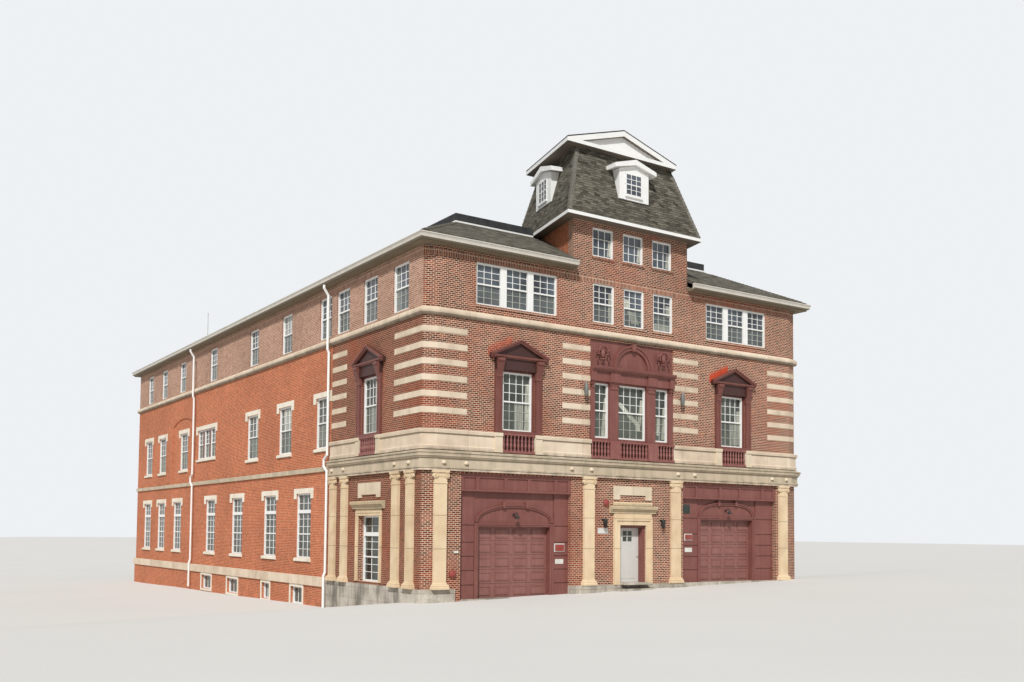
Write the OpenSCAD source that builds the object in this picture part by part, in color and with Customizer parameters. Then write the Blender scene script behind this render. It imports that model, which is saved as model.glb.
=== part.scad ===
// Three-storey brick fire station with stone dressings, two vehicle bays and a mansard tower.
// Front facade faces -Y, its centre line is X = 0, the lowest ground line is Z = 0.

/* [Body] */
// Width of the front facade
front_w = 18170; // [17000:10:19000]
// Distance from its left corner to the centre line of the entrance
left_of_centre = 9000; // [8500:10:9500]
// Depth of the building from the front facade to the rear wall
depth = 37000; // [36000:100:38000]
// Thickness of the brick walls
wall_t = 400; // [300:10:500]
// Length of the small facet at each front corner, along the facade
facet_w = 490; // [300:10:600]
// Depth of that facet
facet_d = 150; // [100:10:200]

/* [Levels] */
// Top of the granite plinth and of the ground floor
plinth_top = 1400; // [1300:10:1500]
// Underside of the entablature over the ground storey
entablature_z = 5350; // [5300:10:5400]
// Bottom of the stone pedestal course of the second storey
pedestal_z = 6050; // [6000:10:6100]
// Top of the coping of the pedestal course
coping_top = 6730; // [6700:10:6760]
// Bottom of the half-round belt course
belt_z = 10540; // [10500:10:10600]
// Height of the belt course
belt_h = 280; // [240:10:300]
// Underside of the eaves
soffit_z = 12900; // [12850:10:12950]
// Top edge of the gutters
gutter_top = 13200; // [13150:10:13250]

/* [Roof] */
// Overhang of the gutters beyond the walls
overhang = 450; // [400:10:500]
// Rise of the hip roof for each unit of run
roof_pitch = 0.5; // [0.45:0.01:0.55]
// Run of the hip roof from the gutter to the curb of the flat deck
roof_run = 3200; // [3000:50:3400]
// Height of the curb round the flat deck
curb_h = 350; // [300:10:400]

/* [Tower] */
// Width of the tower on the front facade
tower_w = 5680; // [5600:20:5900]
// Depth of the tower
tower_d = 4300; // [3900:20:4500]
// Angle by which the sides of the tower lean to the right in plan
tower_skew = 12.5; // [11:0.1:14]
// Underside of the tower eaves
tower_soffit_z = 14850; // [14800:10:14900]
// Top of the mansard
mansard_top = 17750; // [17600:10:17900]

/* [Openings] */
// Left and right edge of the recess of the left vehicle bay
bay_left = [-7535, -2895]; // [-7600:5:-2800]
// Left and right edge of its door
door_left = [-6725, -3700]; // [-6800:5:-3600]
// Bottom of the left vehicle bay
bay_left_z = 1040; // [1000:10:1080]
// Left and right edge of the recess of the right vehicle bay
bay_right = [2580, 7840]; // [2500:5:7900]
// Left and right edge of its door
door_right = [3700, 6650]; // [3600:5:6700]
// Bottom of the right vehicle bay
bay_right_z = 1400; // [1400:10:1440]
// Width of the doorway of the entrance
entrance_w = 1110; // [1000:10:1200]
// Bottom of that doorway
entrance_z = 1460; // [1460:10:1480]
// Height of that doorway
entrance_h = 2060; // [2000:10:2200]

/* [Hidden] */
$fn = 32;
eps = 1;
left_end = -left_of_centre;
right_end = left_end + front_w;
roof_mid = (left_end + right_end) / 2;
brick_dark = "#8a4a3c";
brick_orange = "#b8502e";
limestone = "#d8c49a";
granite_grey = "#8f8d86";
maroon = "#7a3a38";
paint_white = "#e9e7e0";
shingle = "#4f5048";
slab_grey = "#9a9a96";

// Storeys
ground_top = pedestal_z;
second_top = belt_z;
slab_t = 200;
second_floor_z = 6100;
low_bay = [-1600, 9000];
third_floor_z = 10400;
bay_head = entablature_z - 60;

// Windows are [centre along the wall, sill, width, height]
third_single_x = [-1420, 50, 1520];
third_sill = 11110;
third_h = 1470;
triple_left_x = -5300;
triple_right_x = 5550;
triple_w = 3430;
tower_window_x = [-1470, 0, 1470];
tower_sill = 13580;
tower_win_h = 1090;
pediment_x = [-5260, 5300];
pediment_hole_w = 1460;
pediment_win_w = 1240;
pediment_win_h = 2060;
pediment_sill = 6830;
centre_bay_w = 4100;
bay_foot = 6700;
side_near = 7380;
near_window_y = 4030;
third_side_y = [1750, 4140, 6500, 8150, 12270, 16340, 22320, 27740, 31390, 34440];
third_side_sill = 10900;
third_side_w = 1150;
third_side_h = 1680;
second_side_y = [12280, 16300, 31450, 34430];
second_side_sill = 6560;
second_side_w = 1440;
second_side_h = 2030;
second_triple_y = 23200;
second_triple_w = 2960;
second_triple_h = 1520;
second_triple_sill = 6980;
niche_y = [25400, 29400];
niche_spring_z = 9050;
niche_top_z = 9410;
niche_d = 50;
niche_window_y = 27360;
first_side_y = [10070, 13900, 18230, 22280, 28200, 31450, 34500];
first_side_sill = 2180;
first_side_w = 1500;
first_side_h = 2640;
basement_w = [1260, 950, 1500, 1570];
basement_y = [10520, 14070, 18510, 22510];
basement_sill = 300;
basement_h = 700;
rear_x = [-6300, -2100, 2100, 6300];

front_third = concat(
    [for (x = third_single_x) [x, third_sill, 1010, third_h]],
    [[triple_left_x, third_sill, triple_w, third_h], [triple_right_x, third_sill, triple_w, third_h]]);
front_second = [for (x = pediment_x) [x, pediment_sill, pediment_win_w, pediment_win_h]];
tower_windows = [for (x = tower_window_x) [x, tower_sill, 1000, tower_win_h]];
side_third = [for (y = third_side_y) [y, third_side_sill, third_side_w, third_side_h]];
niche_window = [[niche_window_y, second_side_sill, second_side_w, second_side_h]];
side_second = concat(
    [for (y = second_side_y) [y, second_side_sill, second_side_w, second_side_h]],
    [[8300, second_side_sill, 1280, second_side_h], [second_triple_y, second_triple_sill, second_triple_w, second_triple_h]]);
left_second = [near_window_y, pediment_sill, pediment_win_w, pediment_win_h];
side_first = [for (y = first_side_y) [y, first_side_sill, first_side_w, first_side_h]];
near_first = [3970, 1490, 1730, 2370];
basement = [for (i = [0 : 3]) [basement_y[i], basement_sill, basement_w[i], basement_h]];
rear_first = [for (x = rear_x) [x, first_side_sill, second_side_w, second_side_h]];
rear_second = [for (x = rear_x) [x, second_side_sill, second_side_w, second_side_h]];
rear_third = [for (x = rear_x) [x, third_side_sill, third_side_w, third_side_h]];
// Depth of the sashes behind the face of the wall
flush_set = 40;
deep_set = 200;
casing_set = 60;
bay_set = 100;
frame_d = 90;
frame_b = 60;

// Places the whole plan so that its middle is over the origin
module site() translate([0, -depth / 2, 0]) children();

// Facades: local X runs to the right as seen from outside, local Y runs into the wall
module left_facade() translate([left_end, 0, 0]) rotate([0, 0, -90]) children();
module right_facade() translate([right_end, 0, 0]) rotate([0, 0, 90]) children();
module rear_facade() translate([0, depth, 0]) rotate([0, 0, 180]) children();
// Turns a distance from the front into local X of the left facade
function left_x(y) = -y;

module block(x0, x1, y0, y1, z0, z1) translate([x0, y0, z0]) cube([x1 - x0, y1 - y0, z1 - z0]);
// Holes of a list of windows, cut through a wall of depth t
module holes(list, t = wall_t, flip = 1)
    for (w = list) block(flip * w[0] - w[2] / 2, flip * w[0] + w[2] / 2, -eps, t + eps, w[1], w[1] + w[3]);
// Extrudes a profile of [depth into the wall, height] along local X
module along(x0, x1) translate([x0, 0, 0]) rotate([90, 0, 90]) linear_extrude(x1 - x0) children();
// Extrudes an outline of [along the wall, height] from depth y0 to depth y1
module facing(y0, y1) translate([0, y1, 0]) rotate([90, 0, 0]) linear_extrude(y1 - y0) children();
// Mirrored pair on both sides of the local axis
module both_sides() for (s = [0, 1]) mirror([s, 0, 0]) children();

// Outline of the front and its two side returns, moved out by p
function facet_shift(p) = let (a = atan2(facet_d, facet_w)) p * (1 - cos(a)) / sin(a);
function facet_y(p) = let (a = atan2(facet_d, facet_w)) facet_d - (p - p * sin(a)) / cos(a);
function front_path(p, left_stop, right_stop) = [
    [left_end - p, left_stop], [left_end - p, facet_y(p)],
    [left_end + facet_w - facet_shift(p), -p], [right_end - facet_w + facet_shift(p), -p],
    [right_end + p, facet_y(p)], [right_end + p, right_stop]];
function reversed(v) = [for (i = [len(v) - 1 : -1 : 0]) v[i]];

// Unit normal of a plan line, on its right-hand side
function side_normal(a, b) = [b[1] - a[1], a[0] - b[0]] / norm(b - a);
function mitre(a, b) = (a + b) / (1 + a * b);
// Outward direction at each corner of a plan line, for mitred corners
function corner_dirs(v, closed) = let (n = len(v)) [for (i = [0 : n - 1])
    let (before = side_normal(v[(i + n - 1) % n], v[i]), after = side_normal(v[i], v[(i + 1) % n]))
    closed ? mitre(before, after) : i == 0 ? after : i == n - 1 ? before : mitre(before, after)];
// A moulding along a plan line that is walked with the outside on the right.
// Its section is a list of [projection, height], and end_faces cuts that outline into convex parts.
// Without end_faces the moulding closes on itself
module moulding(line, section, end_faces = []) {
    closed = len(end_faces) == 0;
    n = len(section);
    m = len(line);
    dirs = corner_dirs(line, closed);
    pts = [for (s = section) for (j = [0 : m - 1])
        [line[j][0] + s[0] * dirs[j][0], line[j][1] + s[0] * dirs[j][1], s[1]]];
    sides = [for (i = [0 : n - 1]) for (j = [0 : m - (closed ? 1 : 2)])
        [i * m + j, ((i + 1) % n) * m + j, ((i + 1) % n) * m + (j + 1) % m, i * m + (j + 1) % m]];
    ends = [for (f = end_faces) each [[for (i = f) i * m + m - 1], [for (i = [len(f) - 1 : -1 : 0]) f[i] * m]]];
    polyhedron(pts, concat(sides, ends), convexity = 8);
}

// Foundation
stone_return = 7880;
brick_foot = [-7760, bay_left[0]];
foundation_front = 60;
plinth_block_w = 860;
module front_foundation() color(granite_grey) site() {
    difference() {
        linear_extrude(plinth_top) difference() {
            polygon(front_path(foundation_front, stone_return, wall_t + 100));
            translate([left_end + wall_t + 100, wall_t + 100]) square([front_w, depth]);
        }
        block(brick_foot[0], bay_left[1], -200, wall_t + 200, bay_left_z, plinth_top + eps);
        block(brick_foot[0], brick_foot[1], -200, wall_t, -eps, bay_left_z + eps);
    }
    block(-entrance_w / 2 - 280, entrance_w / 2 + 280, -420, -foundation_front, 0, plinth_top - 140);
    for (x = [pilaster_x[1], pilaster_x[2]]) difference() {
        block(x - plinth_block_w / 2, x + plinth_block_w / 2, -250, -foundation_front, 0, plinth_top - 20);
        block(bay_right[0], x + plinth_block_w, -300, 0, -eps, plinth_top);
    }
}
module entrance_step() color(granite_grey) site()
    block(-entrance_w / 2 - 90, entrance_w / 2 + 90, -400, wall_t, plinth_top, entrance_z);
module side_foundations() color(brick_orange) site() {
    difference() {
        block(left_end - 60, left_end + wall_t + 100, stone_return, depth + 60, 0, plinth_top);
        left_facade() for (w = basement)
            block(-w[0] - w[2] / 2, -w[0] + w[2] / 2, -100, 600, w[1], w[1] + w[3]);
    }
    block(right_end - wall_t - 100, right_end + 60, wall_t + 100, depth + 60, 0, plinth_top);
}
module rear_foundation() color(brick_orange) site()
    block(left_end + wall_t + 100, right_end - wall_t - 100, depth - wall_t - 40, depth + 60, 0, plinth_top);

// Floors
module floor_slab(top) block(left_end + wall_t, right_end - wall_t, wall_t, depth - wall_t, top - slab_t, top);
module ground_floor() color(slab_grey) site() {
    x0 = left_end + wall_t + 100;
    y0 = wall_t + 100;
    difference() {
        block(x0, right_end - wall_t - 100, y0, depth - wall_t - 40, plinth_top - slab_t, plinth_top);
        block(left_end, low_bay[0], 0, low_bay[1], 0, 3 * plinth_top);
    }
    low_z = bay_left_z - slab_t;
    high_z = plinth_top - slab_t + eps;
    block(x0, low_bay[0], y0, low_bay[1], low_z, bay_left_z);
    block(low_bay[0], low_bay[0] + slab_t, y0, low_bay[1] + slab_t, low_z, high_z);
    block(x0, low_bay[0] + eps, low_bay[1], low_bay[1] + slab_t, low_z, high_z);
}
module upper_floors() color(slab_grey) site() {
    floor_slab(second_floor_z);
    floor_slab(third_floor_z);
    difference() {
        translate([0, 0, soffit_z]) linear_extrude(slab_t) polygon(front_path(0, depth, depth));
        intersection() {
            tower_prism(0, soffit_z - eps, tower_base + eps);
            block(left_end, right_end, -eps, wall_t, soffit_z - eps, tower_base + eps);
        }
    }
}

// Walls of the front
module front_plan(x0, x1) intersection() {
    polygon(concat(front_path(0, wall_t, wall_t)));
    translate([x0, -eps]) square([x1 - x0, wall_t + 2 * eps]);
}
entrance_hole = entrance_w / 2 + 90;
entrance_top = entrance_z + entrance_h + 90;
module front_piers() color(brick_dark) site() {
    translate([0, 0, plinth_top]) linear_extrude(bay_head - plinth_top) {
        front_plan(left_end, bay_left[0]);
        front_plan(bay_left[1], -entrance_hole);
        front_plan(entrance_hole, bay_right[0]);
        front_plan(bay_right[1], right_end);
    }
    block(brick_foot[0], brick_foot[1], 0, wall_t, 0, plinth_top + eps);
}
module front_header() color(brick_dark) site()
    translate([0, 0, bay_head]) linear_extrude(ground_top - bay_head)
        polygon(front_path(0, wall_t, wall_t));
module front_wall_second() color(brick_dark) site() difference() {
    translate([0, 0, ground_top]) linear_extrude(second_top - ground_top) {
        front_plan(left_end, -centre_bay_w / 2);
        front_plan(centre_bay_w / 2, right_end);
    }
    for (x = pediment_x) block(x - pediment_hole_w / 2, x + pediment_hole_w / 2, -eps, wall_t + eps,
        pediment_sill, pediment_sill + pediment_win_h + frame_b);
}
module centre_wall() color(brick_dark) site() {
    block(-entrance_hole, entrance_hole, 0, wall_t, entrance_top, bay_head);
    block(-centre_bay_w / 2, centre_bay_w / 2, 0, wall_t, ground_top, bay_foot);
    block(-centre_bay_w / 2, centre_bay_w / 2, 0, wall_t, belt_z - 60, belt_z);
}
module front_wall_third() color(brick_dark) site() difference() {
    translate([0, 0, second_top]) linear_extrude(soffit_z - second_top)
        polygon(front_path(0, wall_t, wall_t));
    holes(front_third);
}

// Walls of the sides and the rear
module left_wall() color(brick_orange) site() left_facade() difference() {
    block(-depth, -wall_t, 0, wall_t, plinth_top, soffit_z);
    holes(side_first, flip = -1);
    holes([near_first], flip = -1);
    holes(side_second, flip = -1);
    holes(niche_window, flip = -1);
    holes(side_third, flip = -1);
    block(-near_window_y - pediment_hole_w / 2, -near_window_y + pediment_hole_w / 2, -eps, wall_t + eps,
        pediment_sill, pediment_sill + pediment_win_h + frame_b);
    niche();
}
// Shallow recess with a segmental arch round one window
module niche() {
    half = (niche_y[1] - niche_y[0]) / 2;
    rise = niche_top_z - niche_spring_z;
    r = (half * half + rise * rise) / (2 * rise);
    mid = -(niche_y[0] + niche_y[1]) / 2;
    block(mid - half, mid + half, -eps, niche_d, 5820, niche_spring_z);
    intersection() {
        block(mid - half, mid + half, -eps, niche_d, niche_spring_z - eps, niche_top_z + eps);
        translate([mid, niche_d, niche_top_z - r]) rotate([90, 0, 0]) cylinder(r = r, h = niche_d + eps, $fn = 128);
    }
}
module right_wall() color(brick_orange) site() right_facade() difference() {
    block(wall_t, depth, 0, wall_t, plinth_top, soffit_z);
    holes(side_first);
    holes(side_second);
    holes(niche_window);
    holes(side_third);
}
module rear_wall() color(brick_orange) site() rear_facade() difference() {
    block(-right_end + wall_t, -left_end - wall_t, 0, wall_t, plinth_top, soffit_z);
    holes(rear_first);
    holes(rear_second);
    holes(rear_third);
}

// Tower
tower_lean = tan(tower_skew);
tower_mid = -40;
tower_l = tower_mid - tower_w / 2;
tower_r = tower_mid + tower_w / 2;
// Corner of the tower plan, moved out by p on every side
function tower_pt(sx, back, p) = let (
    y = back ? tower_d + p : -p,
    x = (sx < 0 ? tower_l : tower_r) + sx * p / cos(tower_skew))
    [x + y * tower_lean, y];
function tower_plan(p) = [tower_pt(-1, false, p), tower_pt(1, false, p), tower_pt(1, true, p), tower_pt(-1, true, p)];
module tower_prism(p, z0, z1) translate([0, 0, z0]) linear_extrude(z1 - z0) polygon(tower_plan(p));
tower_base = soffit_z + slab_t;
module tower_front_wall() color(brick_dark) site() difference() {
    intersection() {
        difference() {
            tower_prism(0, soffit_z, tower_soffit_z);
            tower_prism(-wall_t, soffit_z - eps, tower_soffit_z + eps);
        }
        block(left_end, right_end, -eps, wall_t, soffit_z, tower_soffit_z);
    }
    holes(tower_windows);
}
module tower_back_walls() color(brick_orange) site() intersection() {
    difference() {
        tower_prism(0, tower_base, tower_soffit_z);
        tower_prism(-wall_t, tower_base - eps, tower_soffit_z + eps);
    }
    block(left_end, right_end, wall_t, 2 * tower_d, tower_base, tower_soffit_z);
}

// Stone courses
boss_x = [-8280, -7410, -2960, -2060, 2220, 3100, 7510, 8380];
boss_z = 5610;
frieze_out = 110;
module boss(x) translate([x, -frieze_out - 1, boss_z]) difference() {
    sphere(r = 85, $fn = 24);
    block(-100, 100, 0, 100, -100, 100);
}
module entablature() color(limestone) site() moulding(front_path(0, side_near, 1200),
    [[0, entablature_z], [120, entablature_z], [120, 5410], [145, 5425], [145, 5480], [frieze_out, 5500],
    [frieze_out, 5730], [150, 5760], [165, 5810], [205, 5820], [215, 5910], [240, 5930], [240, 5970], [0, pedestal_z]],
    [[0, 1, 2, 5], [2, 3, 4, 5], [0, 5, 6, 13], [6, 7, 8, 13], [8, 9, 10, 13], [10, 11, 12, 13]]);
module pedestal_run(line) moulding(line,
    [[0, pedestal_z], [90, pedestal_z], [90, 6170], [60, 6200], [60, 6560], [110, 6600],
    [130, 6700], [110, coping_top], [0, coping_top]],
    [[0, 1, 2, 3], [0, 3, 4, 8], [4, 5, 6, 7, 8]]);
die_out = 1000;
balustrade_w = 1380;
module pedestal_course() color(limestone) site() {
    line = front_path(0, near_window_y - die_out, 1200);
    pedestal_run([[left_end, side_near], [left_end, near_window_y + die_out]]);
    pedestal_run([line[0], line[1], line[2], [pediment_x[0] - die_out, 0]]);
    pedestal_run([[pediment_x[0] + die_out, 0], [-centre_bay_w / 2, 0]]);
    pedestal_run([[centre_bay_w / 2, 0], [pediment_x[1] - die_out, 0]]);
    pedestal_run([[pediment_x[1] + die_out, 0], line[3], line[4], line[5]]);
}
// Dies that carry the window casings, beside the balustrades
module casing_dies(x) for (s = [-1, 1]) let (m = x + s * (die_out + balustrade_w / 2) / 2, h = (die_out - balustrade_w / 2) / 2) {
    block(m - h, m + h, -130, 0, pedestal_z, pedestal_z + 110);
    block(m - h, m + h, -115, 0, pedestal_z + 110, coping_top - 120);
    block(m - h, m + h, -145, 0, coping_top - 120, coping_top);
}
water_table = [1120, 1490];
second_band = [5630, 5820];
module stone_bands() color(limestone) site() {
    moulding(front_path(0, depth, depth), concat([[0, belt_z]],
        [for (i = [0 : 8]) let (a = i * 22.5 - 90) [30 + 100 * cos(a), belt_z + belt_h / 2 * (1 + sin(a))]],
        [[0, belt_z + belt_h]]));
    left_facade() side_bands(-depth - 60, -side_near - 240);
    right_facade() side_bands(1200, depth + 60);
    rear_facade() {
        block(-right_end - 130, -left_end + 130, -130, -60, water_table[0], water_table[1]);
        block(-right_end - 60, -left_end + 60, -60, 0, plinth_top, water_table[1]);
        block(-right_end - 70, -left_end + 70, -70, 0, second_band[0], second_band[1]);
    }
}
module side_bands(x0, x1) {
    first = x0 < 0 ? -stone_return - 50 : x1;
    block(x0, first, -130, -60, water_table[0], water_table[1]);
    block(x0, first, -60, 0, plinth_top, water_table[1]);
    block(x0, x1, -70, 0, second_band[0], second_band[1]);
}

// Pilasters with a moulded base and a capital with two scrolls
pilaster_x = [-8370, -2120, 2150, 8240];
pilaster_y = [790, 1830, 6000, 7050];
shaft_w = 460;
shaft_out = 110;
base_h = 220;
capital_z = 4920;
// Point of a scroll of outer radius r after it has turned by a degrees
function scroll_pt(a, r) = let (k = r * pow(0.78, a / 90)) [k * sin(a), k * cos(a)];
module scroll(r, thick) {
    linear_extrude(thick) circle(r * 0.82);
    linear_extrude(thick + r / 6) {
        polygon(concat([for (a = [0 : 30 : 510]) scroll_pt(a, r)], [for (a = [510 : -30 : 0]) scroll_pt(a, r * 0.8)]));
        circle(r * 0.22);
    }
}
// Capital of a pilaster of width w between z0 and z1
module capital(w, out, z0, z1) {
    h = z1 - z0;
    r = h * 0.27;
    block(-w / 2 - 15, w / 2 + 15, -out - 20, 0, z0 - 15, z0 + 0.07 * h);
    block(-w / 2, w / 2, -out, 0, z0 + 0.07 * h, z0 + 0.5 * h);
    facing(-out - 15, 0) polygon([[-w / 2, z0 + 0.5 * h], [w / 2, z0 + 0.5 * h],
        [w / 2 + 0.1 * h, z1 - 0.18 * h], [-w / 2 - 0.1 * h, z1 - 0.18 * h]]);
    both_sides() translate([w / 2 - 0.02 * h, -out * 0.45, z1 - 0.42 * h]) rotate([90, 0, 0]) mirror([1, 0, 0]) scroll(r, out * 0.75);
    block(-w / 2 - 0.18 * h, w / 2 + 0.18 * h, -out - 45, 0, z1 - 0.18 * h, z1);
}
module pilaster() {
    side = [[-shaft_w / 2, 0], [-shaft_w / 2, -shaft_out], [shaft_w / 2, -shaft_out], [shaft_w / 2, 0]];
    moulding(side, [[0, plinth_top], [85, plinth_top], [85, plinth_top + 70], [65, plinth_top + 95], [75, plinth_top + 120],
        [60, plinth_top + 150], [30, plinth_top + 165], [30, plinth_top + 190], [0, plinth_top + base_h]],
        [[0, 1, 2, 3], [0, 3, 5, 8], [3, 4, 5], [5, 6, 7, 8]]);
    block(-shaft_w / 2, shaft_w / 2, -shaft_out, 0, plinth_top, capital_z);
    capital(shaft_w, shaft_out, capital_z, entablature_z);
}
module pilasters() color(limestone) site() {
    for (x = pilaster_x) translate([x, 0, 0]) pilaster();
    left_facade() for (y = pilaster_y) translate([left_x(y), 0, 0]) pilaster();
}

// Stone stripes beside the second-storey windows
stripe_pitch = 542;
stripe_h = 205;
stripe_first = 7265;
stripe_t = 15;
module stripe_band(x0, x1) for (i = [0 : 5])
    block(x0, x1, -stripe_t, 0, stripe_first + i * stripe_pitch, stripe_first + i * stripe_pitch + stripe_h);
module stone_stripes() color(limestone) site() {
    for (i = [0 : 5]) let (z = stripe_first + i * stripe_pitch) intersection() {
        translate([0, 0, z]) linear_extrude(stripe_h)
            polygon(concat(front_path(stripe_t, 2150, 1700), reversed(front_path(0, 2150, 1700))));
        union() {
            block(left_end - 50, -7350, -50, 2200, z, z + stripe_h);
            block(7360, right_end + 50, -50, 1800, z, z + stripe_h);
        }
    }
    stripe_band(-3320, -centre_bay_w / 2);
    stripe_band(centre_bay_w / 2, 3370);
    left_facade() stripe_band(-side_near, -6070);
}

// Stone door and window surrounds: two fascias, a frieze and a hood
module surround(w, z0, z1, side, out, hood_w, hood_z) {
    difference() {
        block(-w / 2 - side, w / 2 + side, -out, 0, z0, z1 + side);
        block(-w / 2, w / 2, -out - eps, eps, z0 - eps, z1);
        block(-w / 2 - side * 0.6, w / 2 + side * 0.6, -out - eps, -out * 0.65, z0 - eps, z1 + side * 0.6);
    }
    block(-w / 2 - side, w / 2 + side, -out * 0.6, 0, z1 + side, hood_z);
    along(-hood_w / 2, hood_w / 2) polygon([[0, hood_z], [-80, hood_z], [-95, hood_z + 70], [-125, hood_z + 85],
        [-135, hood_z + 130], [-180, hood_z + 150], [-200, hood_z + 230], [-200, hood_z + 260], [0, hood_z + 290]]);
}
// Flat tablet with two ears under the entablature
module tablet(x0, x1, ear_z, low_z, top_z) {
    block(x0, x1, -40, 0, low_z, top_z);
    for (x = [x0, x1 - 300]) block(x, x + 300, -40, 0, ear_z, low_z);
}
module stone_surrounds() color(limestone) site() {
    surround(2 * entrance_hole, plinth_top, entrance_top, 280, 100, 2240, 4050);
    block(-945, 945, -60, 0, 4345, 4480);
    left_facade() translate([left_x(near_first[0]), 0, 0])
        surround(near_first[2], plinth_top + 90, near_first[1] + near_first[3], 175, 60, 2540, 4110);
}
// Bosses on the frieze, dies under the window casings, and the two tablets
module stone_ornaments() color(limestone) site() {
    for (x = boss_x) boss(x);
    for (x = pediment_x) casing_dies(x);
    tablet(-930, 930, 4560, 4730, 5060);
    left_facade() {
        for (y = pilaster_y) boss(left_x(y));
        casing_dies(left_x(near_window_y));
        translate([left_x(near_first[0]), 0, 0]) tablet(-900, 900, 4510, 4620, 5050);
    }
}

// Curved bracket whose front bulges more at the top, w wide, between z0 and z1
module bracket(w, out, z0, z1) along(-w / 2, w / 2) {
    h = z1 - z0;
    polygon(concat([[0, z1], [0, z0]], [for (i = [0 : 8]) let (t = i / 8)
        [-out * (0.35 + 0.3 * (1 - cos(180 * t))), z0 + t * (h - 40)]], [[-out, z1 - 30], [-out, z1]]));
    translate([-out + 45, z1 - 75]) circle(r = 70);
    translate([-0.35 * out, z0 + 40]) circle(r = 40);
}
// Painted timber window surrounds with a pediment
pediment_half = 1200;
pediment_z = [9330, 9500, 10040];
casing_out = 100;
module pediment_surround() {
    top = pediment_sill + pediment_win_h;
    difference() {
        block(-980, 980, -casing_out, 0, coping_top, pediment_z[0]);
        block(-pediment_hole_w / 2, pediment_hole_w / 2, -casing_out - eps, eps, pediment_sill, top + frame_b);
        difference() {
            block(-930, 930, -casing_out - eps, -casing_out + 15, pediment_sill + 60, 8600);
            block(-790, 790, -casing_out - 2, 0, coping_top, top + frame_b + 60);
        }
    }
    difference() {
        block(-pediment_hole_w / 2, pediment_hole_w / 2, 30, 150, pediment_sill, top + frame_b);
        block(-pediment_win_w / 2, pediment_win_w / 2, 30 - eps, 150 + eps, pediment_sill - eps, top);
    }
    for (s = [-1, 1]) translate([s * 830, 0, 0]) bracket(260, 250, 8650, pediment_z[0]);
    along(-pediment_half, pediment_half) polygon([[0, pediment_z[0]], [-150, pediment_z[0]], [-165, pediment_z[0] + 40],
        [-200, pediment_z[0] + 50], [-200, pediment_z[0] + 110], [0, pediment_z[0] + 110]]);
    base = pediment_z[0] + 110;
    slope = (pediment_z[2] - pediment_z[1]) / pediment_half;
    facing(-casing_out, 0) polygon([[-pediment_half, base], [pediment_half, base], [pediment_half, pediment_z[1] - 20],
        [0, pediment_z[2] - 20], [-pediment_half, pediment_z[1] - 20]]);
    for (step = [[-200, 130], [-235, 50]]) facing(step[0], -casing_out + eps) polygon([
        [-pediment_half, base], [-pediment_half + step[1] / slope * 0.6, base], [0, pediment_z[2] - step[1]],
        [pediment_half - step[1] / slope * 0.6, base], [pediment_half, base], [pediment_half, pediment_z[1]],
        [0, pediment_z[2]], [-pediment_half, pediment_z[1]]]);
}
module pediment_surrounds() color(maroon) site() {
    for (x = pediment_x) translate([x, 0, 0]) pediment_surround();
    left_facade() translate([left_x(near_window_y), 0, 0]) pediment_surround();
}

// Painted timber bay in the middle of the second storey
bay_windows = [[-1480, pediment_sill, 700, 2040], [0, pediment_sill, 1380, 2040], [1480, pediment_sill, 700, 2040]];
bay_mullions = [[-1935, 200], [-920, 420], [920, 420], [1935, 200]];
bay_frieze_z = 8935;
bay_cornice_z = [9300, 9460];
arch_z = 9470;
module centre_bay() color(maroon) site() difference() {
    union() {
        block(-centre_bay_w / 2, centre_bay_w / 2, 60, 300, bay_foot, belt_z - 60);
        for (m = bay_mullions) {
            block(m[0] - m[1] / 2, m[0] + m[1] / 2, -20, 60, coping_top, 8680);
            translate([m[0], 60, 0]) capital(m[1] > 300 ? m[1] - 30 : m[1] - 120, 90, 8680, bay_frieze_z);
            block(m[0] - m[1] / 2 - 20, m[0] + m[1] / 2 + 20, -110, -60, bay_frieze_z, bay_cornice_z[0]);
        }
        block(-centre_bay_w / 2, centre_bay_w / 2, -60, 60, bay_frieze_z, bay_cornice_z[0]);
        along(-centre_bay_w / 2, centre_bay_w / 2) polygon([[60, bay_cornice_z[0]], [-120, bay_cornice_z[0]], [-140, bay_cornice_z[0] + 50],
            [-200, bay_cornice_z[0] + 60], [-230, bay_cornice_z[1] - 30], [-230, bay_cornice_z[1]], [60, bay_cornice_z[1]]]);
        for (ring = [[940, 760, -20], [940, 880, -60]]) facing(ring[2], 60) translate([0, arch_z]) difference() {
            circle(r = ring[0], $fn = 72);
            circle(r = ring[1], $fn = 72);
            translate([-1000, -1010]) square([2000, 1000]);
        }
        facing(-90, 60) polygon([[-70, arch_z + 730], [70, arch_z + 730], [105, 10450], [-105, 10450]]);
    }
    for (w = bay_windows) block(w[0] - w[2] / 2, w[0] + w[2] / 2, -200, 400, w[1], w[1] + w[3]);
}

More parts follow.
